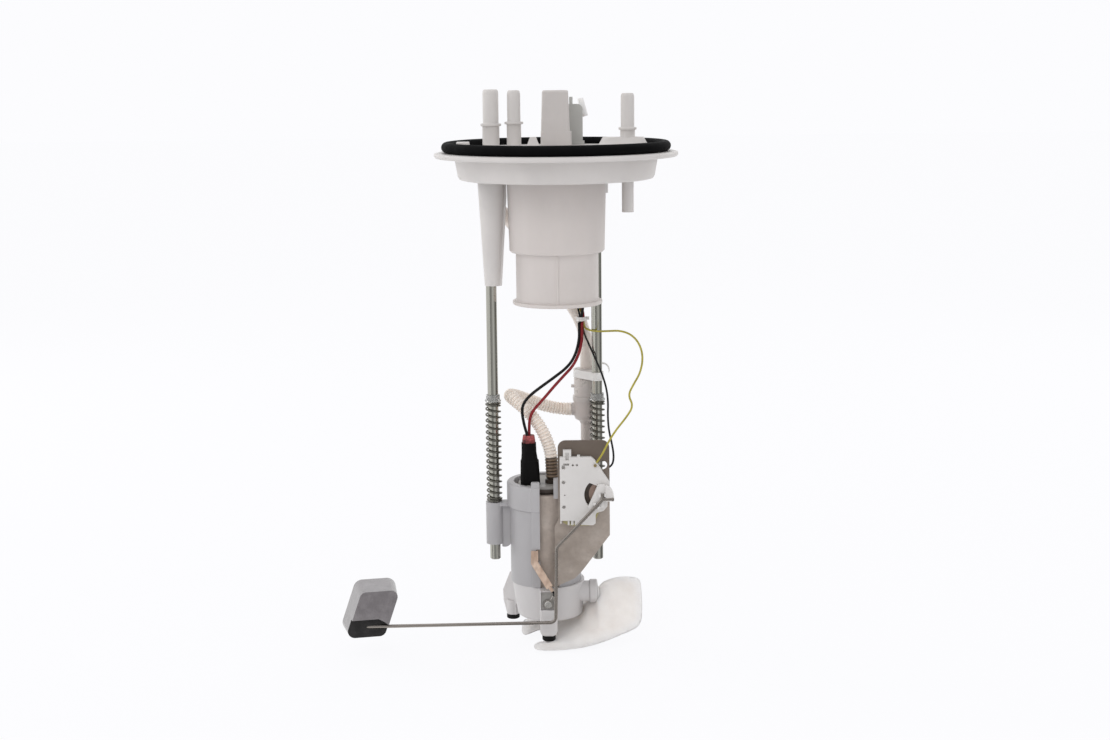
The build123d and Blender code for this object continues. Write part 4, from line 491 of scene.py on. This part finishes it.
# the surface of each piece
LOOKS = {
    "flange_plate": "flange", "seal_ring": "seal", "connector_shell": "connector",
    "connector_terminals": "brass", "pressure_sensor": "sensor", "sensor_elbow": "elbow",
    "vent_valve_body": "valve", "vent_valve_cage": "valve", "vent_float": "valve", "left_guide_rod": "rod",
    "right_guide_rod": "rod", "rod_stop_rings": "spring", "left_spring": "spring", "right_spring": "spring",
    "left_spring_retainer": "retainer", "right_spring_retainer": "retainer", "regulator_body": "regulator",
    "regulator_cap": "regcap", "regulator_clip": "clip", "cable_tie": "clip", "feed_pipe": "pipe",
    "outlet_hose": "hose", "wire_loom": "loom", "power_wire_black": "wire_black",
    "sender_ground_wire": "wire_black", "ground_wire": "wire_black", "power_wire_red": "wire_red",
    "sender_signal_wire": "wire_olive", "connector_boot": "boot", "wire_grommet": "grommet",
    "pump_sleeve": "sleeve", "lower_cup": "cup", "strainer_collar": "cup", "pump_can": "can",
    "pump_top_cap": "cap", "pump_end_cap": "cap", "outlet_barb": "barb", "motor_magnets": "motor",
    "armature": "motor", "impeller": "motor", "sender_bracket": "plate", "sender_housing": "housing",
    "sender_rotor": "housing", "resistor_card": "card", "sender_terminals": "brass",
    "wiper_contact": "brass", "float_arm": "arm", "sender_float": "foam", "ground_strap": "strip",
    "ground_tab": "tab", "ground_screw": "screw", "ground_terminal": "lug", "rubber_feet": "foot",
    "strainer": "nonwoven",
}
for name, look in LOOKS.items():
    nodes[name].data.materials.clear()
    nodes[name].data.materials.append(SURFACES[look])

# ------------------------------------------------------------------ softened edges
WELD_GAP = 0.000004
SHARP_ANGLE = math.radians(40)
# width of each piece's rounded edges, in mm
EDGES = {
    "flange_plate": 0.35, "connector_shell": 0.3, "pressure_sensor": 0.5, "sensor_elbow": 0.2,
    "vent_valve_body": 0.3, "vent_valve_cage": 0.25, "pump_sleeve": 0.3, "lower_cup": 0.3,
    "sender_housing": 0.18, "sender_rotor": 0.2, "regulator_clip": 0.25, "cable_tie": 0.15,
    "pump_top_cap": 0.3, "connector_boot": 0.5, "left_spring_retainer": 0.2, "right_spring_retainer": 0.2,
    "ground_tab": 0.12, "sender_bracket": 0.15, "ground_terminal": 0.1, "ground_strap": 0.08,
    "rubber_feet": 0.4, "resistor_card": 0.08,
}
for name, width in EDGES.items():
    weld = nodes[name].modifiers.new("weld", "WELD")
    weld.merge_threshold = WELD_GAP
    bevel = nodes[name].modifiers.new("edges", "BEVEL")
    bevel.width = width * MM
    bevel.segments = 2
    bevel.limit_method = "ANGLE"
    bevel.angle_limit = SHARP_ANGLE
    bevel.harden_normals = False


# ------------------------------------------------------------------ mesh helpers
def new_mesh(name, verts, faces, look):
    """Smooth-shaded object from points in metres."""
    mesh = bpy.data.meshes.new(name)
    mesh.from_pydata([tuple(v) for v in verts], [], faces)
    mesh.validate()
    obj = bpy.data.objects.new(name, mesh)
    bpy.context.scene.collection.objects.link(obj)
    mesh.materials.append(SURFACES[look])
    for p in mesh.polygons:
        p.use_smooth = True
    return obj


ROUTE_STEPS = 24


def route(points):
    """Points along the smooth line through a cord's route, in metres."""
    curve = bpy.data.curves.new("route", "CURVE")
    curve.dimensions = "3D"
    spline = curve.splines.new("NURBS")
    spline.points.add(len(points) - 1)
    for p, q in zip(spline.points, points):
        p.co = (*q, 1.0)
    spline.order_u = 3
    spline.use_endpoint_u = True
    spline.resolution_u = ROUTE_STEPS
    obj = bpy.data.objects.new("route", curve)
    bpy.context.scene.collection.objects.link(obj)
    bpy.context.view_layer.update()
    mesh = bpy.data.meshes.new_from_object(obj)
    line = [v.co.copy() for v in mesh.vertices]
    bpy.data.objects.remove(obj)
    bpy.data.meshes.remove(mesh)
    bpy.data.curves.remove(curve)
    return line


def resample(line, step):
    """The same line at even steps, with each point's distance along it."""
    dist = [0.0]
    for a, b in zip(line, line[1:]):
        dist.append(dist[-1] + (b - a).length)
    n = max(2, round(dist[-1] / step))
    out = []
    k = 0
    for i in range(n + 1):
        s = dist[-1] * i / n
        while k < len(line) - 2 and dist[k + 1] < s:
            k += 1
        span = dist[k + 1] - dist[k]
        f = 0 if span < 1e-12 else (s - dist[k]) / span
        out.append((line[k].lerp(line[k + 1], f), s))
    return out, dist[-1]


def frames(points):
    """Tangent, normal and side at each point, carried along without twist."""
    out = []
    normal = None
    for i in range(len(points)):
        a = points[max(0, i - 1)]
        b = points[min(len(points) - 1, i + 1)]
        t = (b - a).normalized()
        if normal is None:
            ref = Vector((0, 0, 1)) if abs(t.z) < 0.9 else Vector((1, 0, 0))
            normal = t.cross(ref).normalized()
        else:
            normal = (normal - t * normal.dot(t)).normalized()
        out.append((t, normal, t.cross(normal)))
    return out


def tube(name, points, radius, look, sides, step, profile=None):
    """Closed round tube along points in even steps; profile(s, total) gives a radius that varies."""
    line, total = resample(points, step)
    path = [p for p, s in line]
    verts = []
    for (p, s), (t, n, b) in zip(line, frames(path)):
        r = profile(s, total) if profile else radius
        for j in range(sides):
            a = 2 * math.pi * j / sides
            verts.append(p + (n * math.cos(a) + b * math.sin(a)) * r)
    faces = []
    rows = len(line)
    for i in range(rows - 1):
        for j in range(sides):
            k = (j + 1) % sides
            faces.append((i * sides + j, i * sides + k, (i + 1) * sides + k, (i + 1) * sides + j))
    verts.append(path[0])
    verts.append(path[-1])
    c0, c1 = len(verts) - 2, len(verts) - 1
    for j in range(sides):
        k = (j + 1) % sides
        faces.append((c0, k, j))
        faces.append((c1, (rows - 1) * sides + j, (rows - 1) * sides + k))
    obj = new_mesh(name, verts, faces, look)
    return obj, line, total


def metres(points):
    return [Vector(p) * MM for p in points]


# ------------------------------------------------------------------ springs
BUSH_TOP = -206.8
SPRING_R = 4.25
SPRING_WIRE_R = 0.56
SPRING_PITCH = 3.5
CLOSED_TURNS = 1.15
CLOSED_RISE = SPRING_WIRE_R * 2.12
STEPS_PER_TURN = 30


def spring(name, node, x, y, top):
    """Left-handed compression spring on its rod, with a closed turn at each end."""
    bottom = BUSH_TOP
    height = top - bottom - 2 * SPRING_WIRE_R
    free = height - 2 * CLOSED_TURNS * CLOSED_RISE
    free_turns = round(free / SPRING_PITCH)
    turns = free_turns + 2 * CLOSED_TURNS
    steps = int(turns * STEPS_PER_TURN)
    points = []
    for i in range(steps + 1):
        u = turns * i / steps
        if u < CLOSED_TURNS:
            z = u * CLOSED_RISE
        elif u > turns - CLOSED_TURNS:
            z = height - (turns - u) * CLOSED_RISE
        else:
            z = CLOSED_TURNS * CLOSED_RISE + (u - CLOSED_TURNS) * free / free_turns
        a = -2 * math.pi * u
        points.append((x + SPRING_R * math.cos(a), y + SPRING_R * math.sin(a), bottom + SPRING_WIRE_R + z))
    obj = tube(name, metres(points), SPRING_WIRE_R * MM, "spring", sides=10, step=0.00085)[0]
    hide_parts(node)
    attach(obj, "flange")
    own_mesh(obj)


spring("left_spring_wire", "left_spring", -39.3, 0.0, -145.6)
spring("right_spring_wire", "right_spring", 23.7, 24.0, -149.8)


# ------------------------------------------------------------------ outlet hose
# from the regulator's side port to the barb, in mm
HOSE_ROUTE = [
    (8.0, 37.0, -157.7),
    (2.8, 37.0, -157.7),
    (-6.5, 35.0, -155.6),
    (-15.8, 30.6, -151.6),
    (-24.2, 24.6, -147.2),
    (-29.6, 16.6, -144.4),
    (-28.8, 8.2, -144.4),
    (-22.8, 2.4, -148.2),
    (-15.2, -1.2, -155.0),
    (-9.0, -3.6, -164.4),
    (-5.2, -4.6, -174.6),
    (-4.4, -5.0, -184.0),
    (-4.4, -4.99, -191.2),
]
HOSE_R = 0.00398
HOSE_PITCH = 0.00195
HOSE_STEPS = 10
HOSE_SIDES = 28
HOSE_GROOVE = 0.00062
HOSE_GRIP = 0.0128
GRIP_GROOVE = 0.0004
GRIP_PINCH = 0.00005


def hose_wave(s):
    """0 in a groove, 1 on a crest: round crests and narrower grooves."""
    return 0.5 - 0.5 * math.cos(2 * math.pi * s / HOSE_PITCH)


def hose_grip(s, total, run):
    """0 on the free hose, 1 on the last stretch, which grips the barb."""
    return max(0.0, min(1.0, (s - (total - HOSE_GRIP)) / run))


def hose_radius(s, total):
    grip = hose_grip(s, total, 0.002)
    groove = HOSE_GROOVE * (1 - grip) + GRIP_GROOVE * grip
    fade_in = max(0.15, min(1.0, s / 0.006))
    return HOSE_R - GRIP_PINCH * grip - groove * fade_in * (1 - hose_wave(s) ** 0.8)


def outlet_hose():
    """Corrugated hose from the regulator to the barb, with its crests marked for the grooves' painted shade
    and its gripped end marked.
    """
    obj, line, total = tube("outlet_hose_tube", route(metres(HOSE_ROUTE)), HOSE_R, "hose", sides=HOSE_SIDES,
                            step=HOSE_PITCH / HOSE_STEPS, profile=hose_radius)
    crest = obj.data.attributes.new("crest", "FLOAT", "POINT")
    grip = obj.data.attributes.new("grip", "FLOAT", "POINT")
    for i, (p, s) in enumerate(line):
        for j in range(HOSE_SIDES):
            crest.data[i * HOSE_SIDES + j].value = hose_wave(s)
            grip.data[i * HOSE_SIDES + j].value = hose_grip(s, total, 0.0008)
    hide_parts("outlet_hose")
    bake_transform(obj)


outlet_hose()


# ------------------------------------------------------------------ leads
LOOM_END = -102.65
# start and end bound a stretch of each lead; sizes and places in mm
Lead = namedtuple("Lead", "node diameter look start end points")
LEADS = {
    "black": Lead("power_wire_black", 1.8, "wire_black", (13.1, 28.9, -106.0), (-21.6, -8.2, -152.0), [
        (13.1, 28.9, LOOM_END), (13.2, 28.9, -107.65), (13.0, 25.6, -112.6), (11.2, 20.6, -119.2),
        (8.2, 15.6, -124.6), (3.6, 10.8, -128.6), (-1.4, 6.6, -131.6), (-6.4, 2.8, -134.6),
        (-12.2, -1.2, -138.0), (-18.0, -5.0, -142.0), (-21.4, -7.8, -146.2), (-21.9, -8.8, -151.0),
        (-20.7, -8.6, -158.4), (-18.8, -8.1, -165.0), (-18.8, -8.1, -166.8)]),
    "red": Lead("power_wire_red", 1.8, "wire_red", (14.9, 28.4, -107.0), (-17.4, -6.2, -156.0), [
        (14.9, 28.4, LOOM_END), (14.8, 28.2, -108.65), (14.4, 24.2, -114.6), (12.4, 18.8, -121.0),
        (8.8, 13.8, -127.0), (3.7, 9.6, -131.6), (-2.3, 4.6, -137.2), (-10.1, -1.8, -145.2),
        (-15.0, -5.0, -149.9), (-17.4, -6.0, -154.6), (-17.8, -5.8, -161.6), (-17.8, -5.8, -166.8)]),
    "signal": Lead("sender_signal_wire", 1.2, "wire_olive", (35.0, 6.0, -103.0), (28.0, -28.0, -168.0), [
        (16.0, 29.9, LOOM_END), (16.0, 29.7, -105.25), (18.4, 25.0, -106.4), (23.4, 16.4, -106.2),
        (30.1, 8.0, -104.8), (37.1, 3.0, -103.8), (43.8, -1.0, -105.6), (48.6, -4.0, -111.0),
        (50.4, -7.0, -118.6), (48.6, -11.0, -127.0), (44.4, -14.0, -133.4), (40.9, -17.0, -139.4),
        (44.1, -18.8, -145.6), (39.4, -21.6, -152.2), (33.4, -24.6, -158.8), (28.6, -28.0, -165.6),
        (24.8, -31.4, -172.6), (21.7, -31.25, -176.8)]),
    "ground": Lead("sender_ground_wire", 1.2, "wire_black", (16.0, 29.0, -108.0), (32.0, -15.0, -173.0), [
        (15.0, 31.1, LOOM_END), (15.4, 30.7, -107.65), (18.6, 25.0, -114.6), (22.2, 18.4, -122.2),
        (25.9, 13.6, -130.1), (28.8, 9.4, -138.6), (29.9, 4.8, -146.9), (29.4, -0.6, -155.2),
        (29.8, -6.4, -162.5), (31.4, -12.0, -169.2), (32.4, -17.2, -175.2), (31.8, -20.4, -179.8),
        (29.6, -22.05, -181.6), (27.8, -22.75, -182.35)]),
}


def loose_lead(name, lead):
    """One lead from the loom's end to its terminal."""
    obj, line, total = tube(name + "_lead", route(metres(lead.points)), lead.diameter / 2 * MM, lead.look,
                            sides=12, step=0.0009)
    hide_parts(lead.node)
    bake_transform(obj)


for name, lead in LEADS.items():
    loose_lead(name, lead)

ARM_R = 0.00085
ARM_TAIL = [(25.1, -33.25, -198.2), (26.6, -33.25, -198.4), (29.0, -33.25, -198.4), (31.9, -33.25, -198.1)]


def arm_tail():
    """Bent end of the arm wire, across the hub."""
    obj = tube("arm_tail", route(metres(ARM_TAIL)), ARM_R, "arm", sides=14, step=0.0005)[0]
    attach(obj, "sender_arm")


arm_tail()


# ------------------------------------------------------------------ loom
# from the connector's terminals to the cable tie, in mm
LOOM_ROUTE = [
    (2.8, 36.6, -4.7),
    (3.4, 36.3, -26.0),
    (9.3, 34.0, -48.0),
    (13.1, 30.3, -72.0),
    (14.0, 29.6, -88.0),
    (14.3, 29.7, -102.6),
]
LOOM_TWIST = -3.5
LOOM_SWAY = 0.35
SWAY_RATE = 120


def loom():
    """The four leads twisted together along the loom's line, meeting the loose leads at its lower end."""
    line, total = resample(route(metres(LOOM_ROUTE)), 0.0012)
    axes = frames([p for p, s in line])
    _, normal, side = axes[-1]
    strands = []
    for name, lead in LEADS.items():
        off = (Vector(lead.points[0][:2]) - Vector(LOOM_ROUTE[-1][:2])).to_3d() * MM
        turn = math.atan2(off.dot(side), off.dot(normal))
        strand = []
        for (p, s), (t, n, b) in zip(line, axes):
            left = total - s
            sway = LOOM_SWAY * math.sin(left * SWAY_RATE + len(name))
            a = turn + LOOM_TWIST * 2 * math.pi * left / total + sway
            strand.append(p + (n * math.cos(a) + b * math.sin(a)) * off.length)
        obj, path, length = tube(name + "_loom_strand", strand, lead.diameter / 2 * MM, lead.look,
                                 sides=12, step=0.0011)
        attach(obj, "flange")
        strands.append(obj)
    for obj in strands:
        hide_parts("wire_loom")


loom()


# ------------------------------------------------------------------ strainer
# x, then y and z of the front edge, y and z of the back edge, and the thickness
SOCK = [
    (-23.6, -15.0, -286.8, 12.0, -285.4, 1.4),
    (-12.0, -36.0, -288.4, 15.0, -285.4, 1.8),
    (1.0, -38.0, -288.6, 15.5, -283.8, 2.4),
    (12.0, -35.5, -288.2, 13.5, -276.2, 3.2),
    (20.0, -33.0, -287.2, 10.5, -269.8, 4.4),
    (27.0, -30.2, -285.8, 8.6, -261.8, 6.2),
    (37.0, -26.4, -283.2, 8.0, -257.6, 6.0),
    (49.5, -18.6, -279.6, 6.0, -257.4, 2.4),
]
SOCK_OUTLINE = [
    (-23.4, 11.0), (-24.0, -4.0), (-23.4, -12.0), (-21.4, -14.6), (-17.5, -10.2), (-13.4, -5.4),
    (-9.8, -7.0), (-8.8, -13.0), (-8.8, -20.0), (-9.8, -23.6), (-12.6, -24.4), (-14.9, -26.4),
    (-16.0, -30.0), (-16.0, -34.4), (-14.4, -37.8), (-10.0, -38.6), (-5.0, -38.6), (1.0, -38.0),
    (12.0, -35.5), (20.0, -33.0), (27.0, -30.2), (37.0, -26.4), (45.0, -21.8), (48.8, -17.2),
    (49.5, -9.0), (49.5, 1.0), (48.6, 5.4), (44.0, 7.0), (37.0, 8.0), (27.0, 8.6), (20.0, 10.5),
    (12.0, 13.5), (1.0, 15.5), (-12.0, 15.2), (-20.0, 14.2),
]
# x, y and z of each ring's middle, then its half-width and half-height
SOCK_NECK = [
    (22.35, -5.0, -263.0, 3.0, 3.0), (22.4, -5.0, -263.0, 6.3, 6.3), (22.7, -5.0, -264.4, 6.0, 4.9),
    (24.5, -4.8, -266.0, 5.4, 4.4), (27.0, -4.4, -268.4, 3.0, 1.2),
]
NECK_SIDES = 40
MOUTH_X = 22.3
MOUTH_SWELL = 8.6
STUB_X = 12.5
STUB_SWELL = 3.6
SEAM_WIDTH = 2.6
SEAM_HALF = 0.2
PUFF_RUN = 8.0
CREASE = 0.4
PUCKER = 0.22
WAVE = 0.35
SOCK_GRID = 1.25
GRID_LEFT, GRID_RIGHT = -24.0, 49.6
GRID_FRONT, GRID_BACK = -38.0, 16.0


def sock_station(x):
    """Both edges and the thickness at x, on a smooth line through the stations."""
    k = 0
    while k < len(SOCK) - 2 and SOCK[k + 1][0] < x:
        k += 1
    a, b = SOCK[k], SOCK[k + 1]
    before = SOCK[k - 1] if k else a
    after = SOCK[k + 2] if k + 2 < len(SOCK) else b
    f = (x - a[0]) / (b[0] - a[0])
    out = []
    for i in range(1, 6):
        m0 = (b[i] - before[i]) / (b[0] - before[0]) * (b[0] - a[0])
        m1 = (after[i] - a[i]) / (after[0] - a[0]) * (b[0] - a[0])
        h = 2 * f ** 3 - 3 * f ** 2 + 1, f ** 3 - 2 * f ** 2 + f, 3 * f ** 2 - 2 * f ** 3, f ** 3 - f ** 2
        out.append(h[0] * a[i] + h[1] * m0 + h[2] * b[i] + h[3] * m1)
    return out


def sock_height(x, y):
    """Height of the pillow's middle at x and y, and its thickness there."""
    y0, z0, y1, z1, t = sock_station(max(SOCK[0][0], min(SOCK[-1][0], x)))
    return z0 + (z1 - z0) * (y - y0) / (y1 - y0), t


def round_corners(ring, times):
    """Each pass cuts every corner at a quarter of both its sides."""
    for _ in range(times):
        cut = []
        for a, b in zip(ring, ring[1:] + ring[:1]):
            cut.append((a[0] * 0.75 + b[0] * 0.25, a[1] * 0.75 + b[1] * 0.25))
            cut.append((a[0] * 0.25 + b[0] * 0.75, a[1] * 0.25 + b[1] * 0.75))
        ring = cut
    return ring


def edge_distance(x, y, ring):
    """Distance to the outline, and whether the point is inside it."""
    best = 1e9
    inside = False
    for (ax, ay), (bx, by) in zip(ring, ring[1:] + ring[:1]):
        dx, dy = bx - ax, by - ay
        f = max(0.0, min(1.0, ((x - ax) * dx + (y - ay) * dy) / (dx * dx + dy * dy)))
        best = min(best, (ax + f * dx - x) ** 2 + (ay + f * dy - y) ** 2)
        if (ay > y) != (by > y) and x < (bx - ax) * (y - ay) / (by - ay) + ax:
            inside = not inside
    return math.sqrt(best), inside


def ease(v, start, run):
    """0 up to start, 1 past start + run, smooth between them."""
    f = max(0.0, min(1.0, (v - start) / run))
    return f * f * (3 - 2 * f)


def hill(x, y, top, reach):
    return math.exp(-((x - top[0]) / reach[0]) ** 2 - ((y - top[1]) / reach[1]) ** 2)


def sock_swell(x, y):
    """Rise of the upper layer, under the inlet stub and where the stub's ring opens into the pillow."""
    over = MOUTH_SWELL * ease(x, MOUTH_X, 1.4) * hill(x, y, (25.0, -6.0), (9.0, 9.5))
    under = STUB_SWELL * ease(x, STUB_X, 5.0) * hill(x, y, (21.0, -2.0), (9.0, 13.0))
    return max(over, under)


def sock_neck(first):
    """Mouth of the sock: a closed bulge from the inlet ring into the pillow; first is its first vertex."""
    rings = []
    for a, b in zip(SOCK_NECK, SOCK_NECK[1:]):
        for f in (0.0, 0.25, 0.5, 0.75):
            rings.append([p + (q - p) * f for p, q in zip(a, b)])
    rings.append(SOCK_NECK[-1])
    points = []
    for x, y, z, half_wide, half_high in rings:
        for j in range(NECK_SIDES):
            a = 2 * math.pi * j / NECK_SIDES
            fold = 1 + 0.03 * noise.noise(Vector((x * 0.35, math.cos(a) * 2.2, math.sin(a) * 2.2)))
            points.append((x, y + half_wide * fold * math.cos(a), z + half_high * fold * math.sin(a)))
    skin = []
    for i in range(len(rings) - 1):
        row = first + i * NECK_SIDES
        for j in range(NECK_SIDES):
            k = (j + 1) % NECK_SIDES
            skin.append((row + j, row + k, row + NECK_SIDES + k, row + NECK_SIDES + j))
    last = first + (len(rings) - 1) * NECK_SIDES
    skin.append(tuple(first + j for j in reversed(range(NECK_SIDES))))
    skin.append(tuple(last + j for j in range(NECK_SIDES)))
    return metres(points), skin


def sock_plan(ring):
    """Points and triangles that fill the outline evenly."""
    flat = [Vector(p) for p in ring]
    y = GRID_FRONT
    odd = False
    while y < GRID_BACK:
        x = GRID_LEFT + (SOCK_GRID / 2 if odd else 0)
        while x < GRID_RIGHT:
            d, inside = edge_distance(x, y, ring)
            if inside and d > SOCK_GRID * 0.55:
                flat.append(Vector((x, y)))
            x += SOCK_GRID
        y += SOCK_GRID * 0.87
        odd = not odd
    plan, _, faces, *_ = delaunay_2d_cdt(flat, [], [list(range(len(ring)))], 1, 1e-6)
    return plan, faces


def sock_layers(plan, ring):
    """Upper and lower layer of cloth, in metres."""
    top = []
    low = []
    for p in plan:
        z, t = sock_height(p.x, p.y)
        zx = sock_height(p.x + 0.5, p.y)[0] - sock_height(p.x - 0.5, p.y)[0]
        zy = sock_height(p.x, p.y + 0.5)[0] - sock_height(p.x, p.y - 0.5)[0]
        up = Vector((-zx, -zy, 1)).normalized()
        d = edge_distance(p.x, p.y, ring)[0]
        puff = max(0.0, min(1.0, (d - SEAM_WIDTH) / PUFF_RUN))
        rise = math.sin(puff * math.pi / 2) ** 0.8
        near_seam = math.exp(-((d - SEAM_WIDTH) / 3.0) ** 2)
        wave = WAVE * noise.noise(Vector((p.x * 0.13, p.y * 0.13, 5.0))) * min(1.0, d / 6.0)
        for side, layer in ((1, top), (-1, low)):
            crease = noise.noise(Vector((p.x * 0.16, p.y * 0.1, side * 3.0)))
            pucker = noise.noise(Vector((p.x * 0.55, p.y * 0.55, side * 7.0))) * near_seam
            half = SEAM_HALF * min(1.0, d / 0.4) + rise * (t / 2 + CREASE * crease)
            swell = sock_swell(p.x, p.y) if side > 0 else 0.0
            layer.append((Vector((p.x, p.y, z + swell)) + up * (side * half + PUCKER * pucker + wave)) * MM)
    return top, low


def strainer_pillow():
    """Two layers of filter cloth, puffed apart over a core and welded flat round the margin."""
    ring = round_corners(SOCK_OUTLINE, 3)
    plan, faces = sock_plan(ring)
    top, low = sock_layers(plan, ring)
    n = len(plan)
    skin = [tuple(f) for f in faces] + [tuple(n + i for i in reversed(f)) for f in faces]
    neck, neck_skin = sock_neck(2 * n)
    obj = new_mesh("strainer_sock", top + low + neck, skin + neck_skin, "nonwoven")
    bm = bmesh.new()
    bm.from_mesh(obj.data)
    bmesh.ops.remove_doubles(bm, verts=bm.verts, dist=0.00008)
    bmesh.ops.recalc_face_normals(bm, faces=bm.faces)
    bm.to_mesh(obj.data)
    bm.free()
    for f in obj.data.polygons:
        f.use_smooth = True
    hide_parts("strainer")
    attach(obj, "carrier")


strainer_pillow()


# ------------------------------------------------------------------ stage and light
WHITE_BACK = rgb(252, 252, 254)
FLOOR_HALF = 4.0
FLOOR_Z = -0.2903
FLOOR_GLOW = 0.93
AIM = Vector((0, 0, -0.1))
# brightness that polished metal sees by compass direction: 0 degrees is the front, 90 the right
AROUND = [(-180, 1.0), (-60, 1.0), (-36, 0.95), (-31, 0.2), (-24, 0.18), (-19, 0.42), (12, 0.45), (20, 0.75),
          (48, 0.75), (60, 0.4), (86, 0.36), (93, 0.12), (114, 0.12), (124, 0.8), (180, 1.0)]
# name, place, size and power
LAMPS = (
    ("key", (-0.9, -1.1, 0.9), 0.9, 3.4),
    ("back_left", (-1.1, 0.7, 0.3), 0.8, 3.4),
    ("back_right", (1.0, 0.9, 0.4), 0.8, 1.8),
)


def around(g, parts):
    """Level of AROUND in the direction whose parts are given."""
    turn = g.math("ARCTAN2", parts.outputs["X"], g.math("MULTIPLY", parts.outputs["Y"], -1.0))
    share = g.math("ADD", g.math("DIVIDE", turn, 2 * math.pi), 0.5)
    return g.ramp(share, [(angle / 360 + 0.5, (level, level, level, 1)) for angle, level in AROUND])


def seen_directly(g, path):
    return g.math("MAXIMUM", path.outputs["Is Camera Ray"], path.outputs["Is Transmission Ray"])


def floor():
    """Pale floor that keeps the shadow, glows white to the camera and shows the studio in polished metal."""
    mat = bpy.data.materials.new("floor")
    mat.use_nodes = True
    mat.node_tree.nodes.clear()
    g = Graph(mat.node_tree)
    path = g.node("ShaderNodeLightPath")
    place = g.node("ShaderNodeTexCoord")
    level = around(g, g.node("ShaderNodeSeparateXYZ", Vector=place.outputs["Object"]))
    lit = g.node("ShaderNodeBsdfDiffuse", Color=(0.93, 0.93, 0.94, 1))
    glow = g.node("ShaderNodeEmission", Color=WHITE_BACK, Strength=1.004)
    mirrored = g.node("ShaderNodeEmission", Color=level, Strength=0.9)
    glowing = g.math("MULTIPLY", seen_directly(g, path), FLOOR_GLOW)
    shadow_kept = g.mix_shader(glowing, lit.outputs[0], glow.outputs[0])
    surface = g.mix_shader(path.outputs["Is Glossy Ray"], shadow_kept, mirrored.outputs[0])
    g.node("ShaderNodeOutputMaterial", Surface=surface)
    h = FLOOR_HALF
    mesh = bpy.data.meshes.new("floor")
    mesh.from_pydata([(-h, -h, FLOOR_Z), (h, -h, FLOOR_Z), (h, h * 2, FLOOR_Z), (-h, h * 2, FLOOR_Z)], [],
                     [(0, 1, 2, 3)])
    obj = bpy.data.objects.new("floor", mesh)
    bpy.context.scene.collection.objects.link(obj)
    mesh.materials.append(mat)


def surroundings():
    """White to the camera, the studio's levels in gloss, and an even soft light everywhere else."""
    world = bpy.data.worlds.new("studio")
    bpy.context.scene.world = world
    world.use_nodes = True
    world.node_tree.nodes.clear()
    g = Graph(world.node_tree)
    path = g.node("ShaderNodeLightPath")
    place = g.node("ShaderNodeTexCoord")
    parts = g.node("ShaderNodeSeparateXYZ", Vector=place.outputs["Generated"])
    sides = g.mix(path.outputs["Is Glossy Ray"], (0.84, 0.84, 0.85, 1), around(g, parts))
    overhead = g.span(parts.outputs["Z"], 0.35, 0.9, 0.0, 1.0)
    sky = g.mix(overhead, sides, (0.95, 0.95, 0.97, 1))
    light = g.node("ShaderNodeBackground", Color=sky, Strength=1.02)
    white = g.node("ShaderNodeBackground", Color=WHITE_BACK, Strength=1.0)
    surface = g.mix_shader(seen_directly(g, path), light.outputs[0], white.outputs[0])
    g.node("ShaderNodeOutputWorld", Surface=surface)


def lamp(name, place, size, power):
    light = bpy.data.lights.new(name, "AREA")
    light.shape = "DISK"
    light.size = size
    light.energy = power
    obj = bpy.data.objects.new(name, light)
    bpy.context.scene.collection.objects.link(obj)
    obj.location = place
    obj.rotation_mode = "QUATERNION"
    obj.rotation_quaternion = (AIM - Vector(place)).to_track_quat("-Z", "Y")
    obj.visible_camera = False
    obj.visible_glossy = False


floor()
surroundings()
for name, place, size, power in LAMPS:
    lamp(name, place, size, power)


# ------------------------------------------------------------------ camera
FRAME_WIDTH_PX = 1110.0
FOCAL_PX = 1763.0
CAMERA_AT = (-0.00195, -1.039, 0.0508)
CAMERA_PITCH = math.radians(90 - 9.7)
CAMERA_ROLL = math.radians(-0.6)

cam = bpy.data.cameras.new("photo_camera")
cam.sensor_width = 36.0
cam.lens = FOCAL_PX * cam.sensor_width / FRAME_WIDTH_PX
cam.clip_start = 0.01
cam.clip_end = 50
camera = bpy.data.objects.new("photo_camera", cam)
bpy.context.scene.collection.objects.link(camera)
camera.matrix_world = (
    Matrix.Translation(CAMERA_AT)
    @ Matrix.Rotation(CAMERA_PITCH, 4, "X")
    @ Matrix.Rotation(CAMERA_ROLL, 4, "Z")
)
bpy.context.scene.camera = camera
bpy.context.scene.view_settings.view_transform = "Standard"
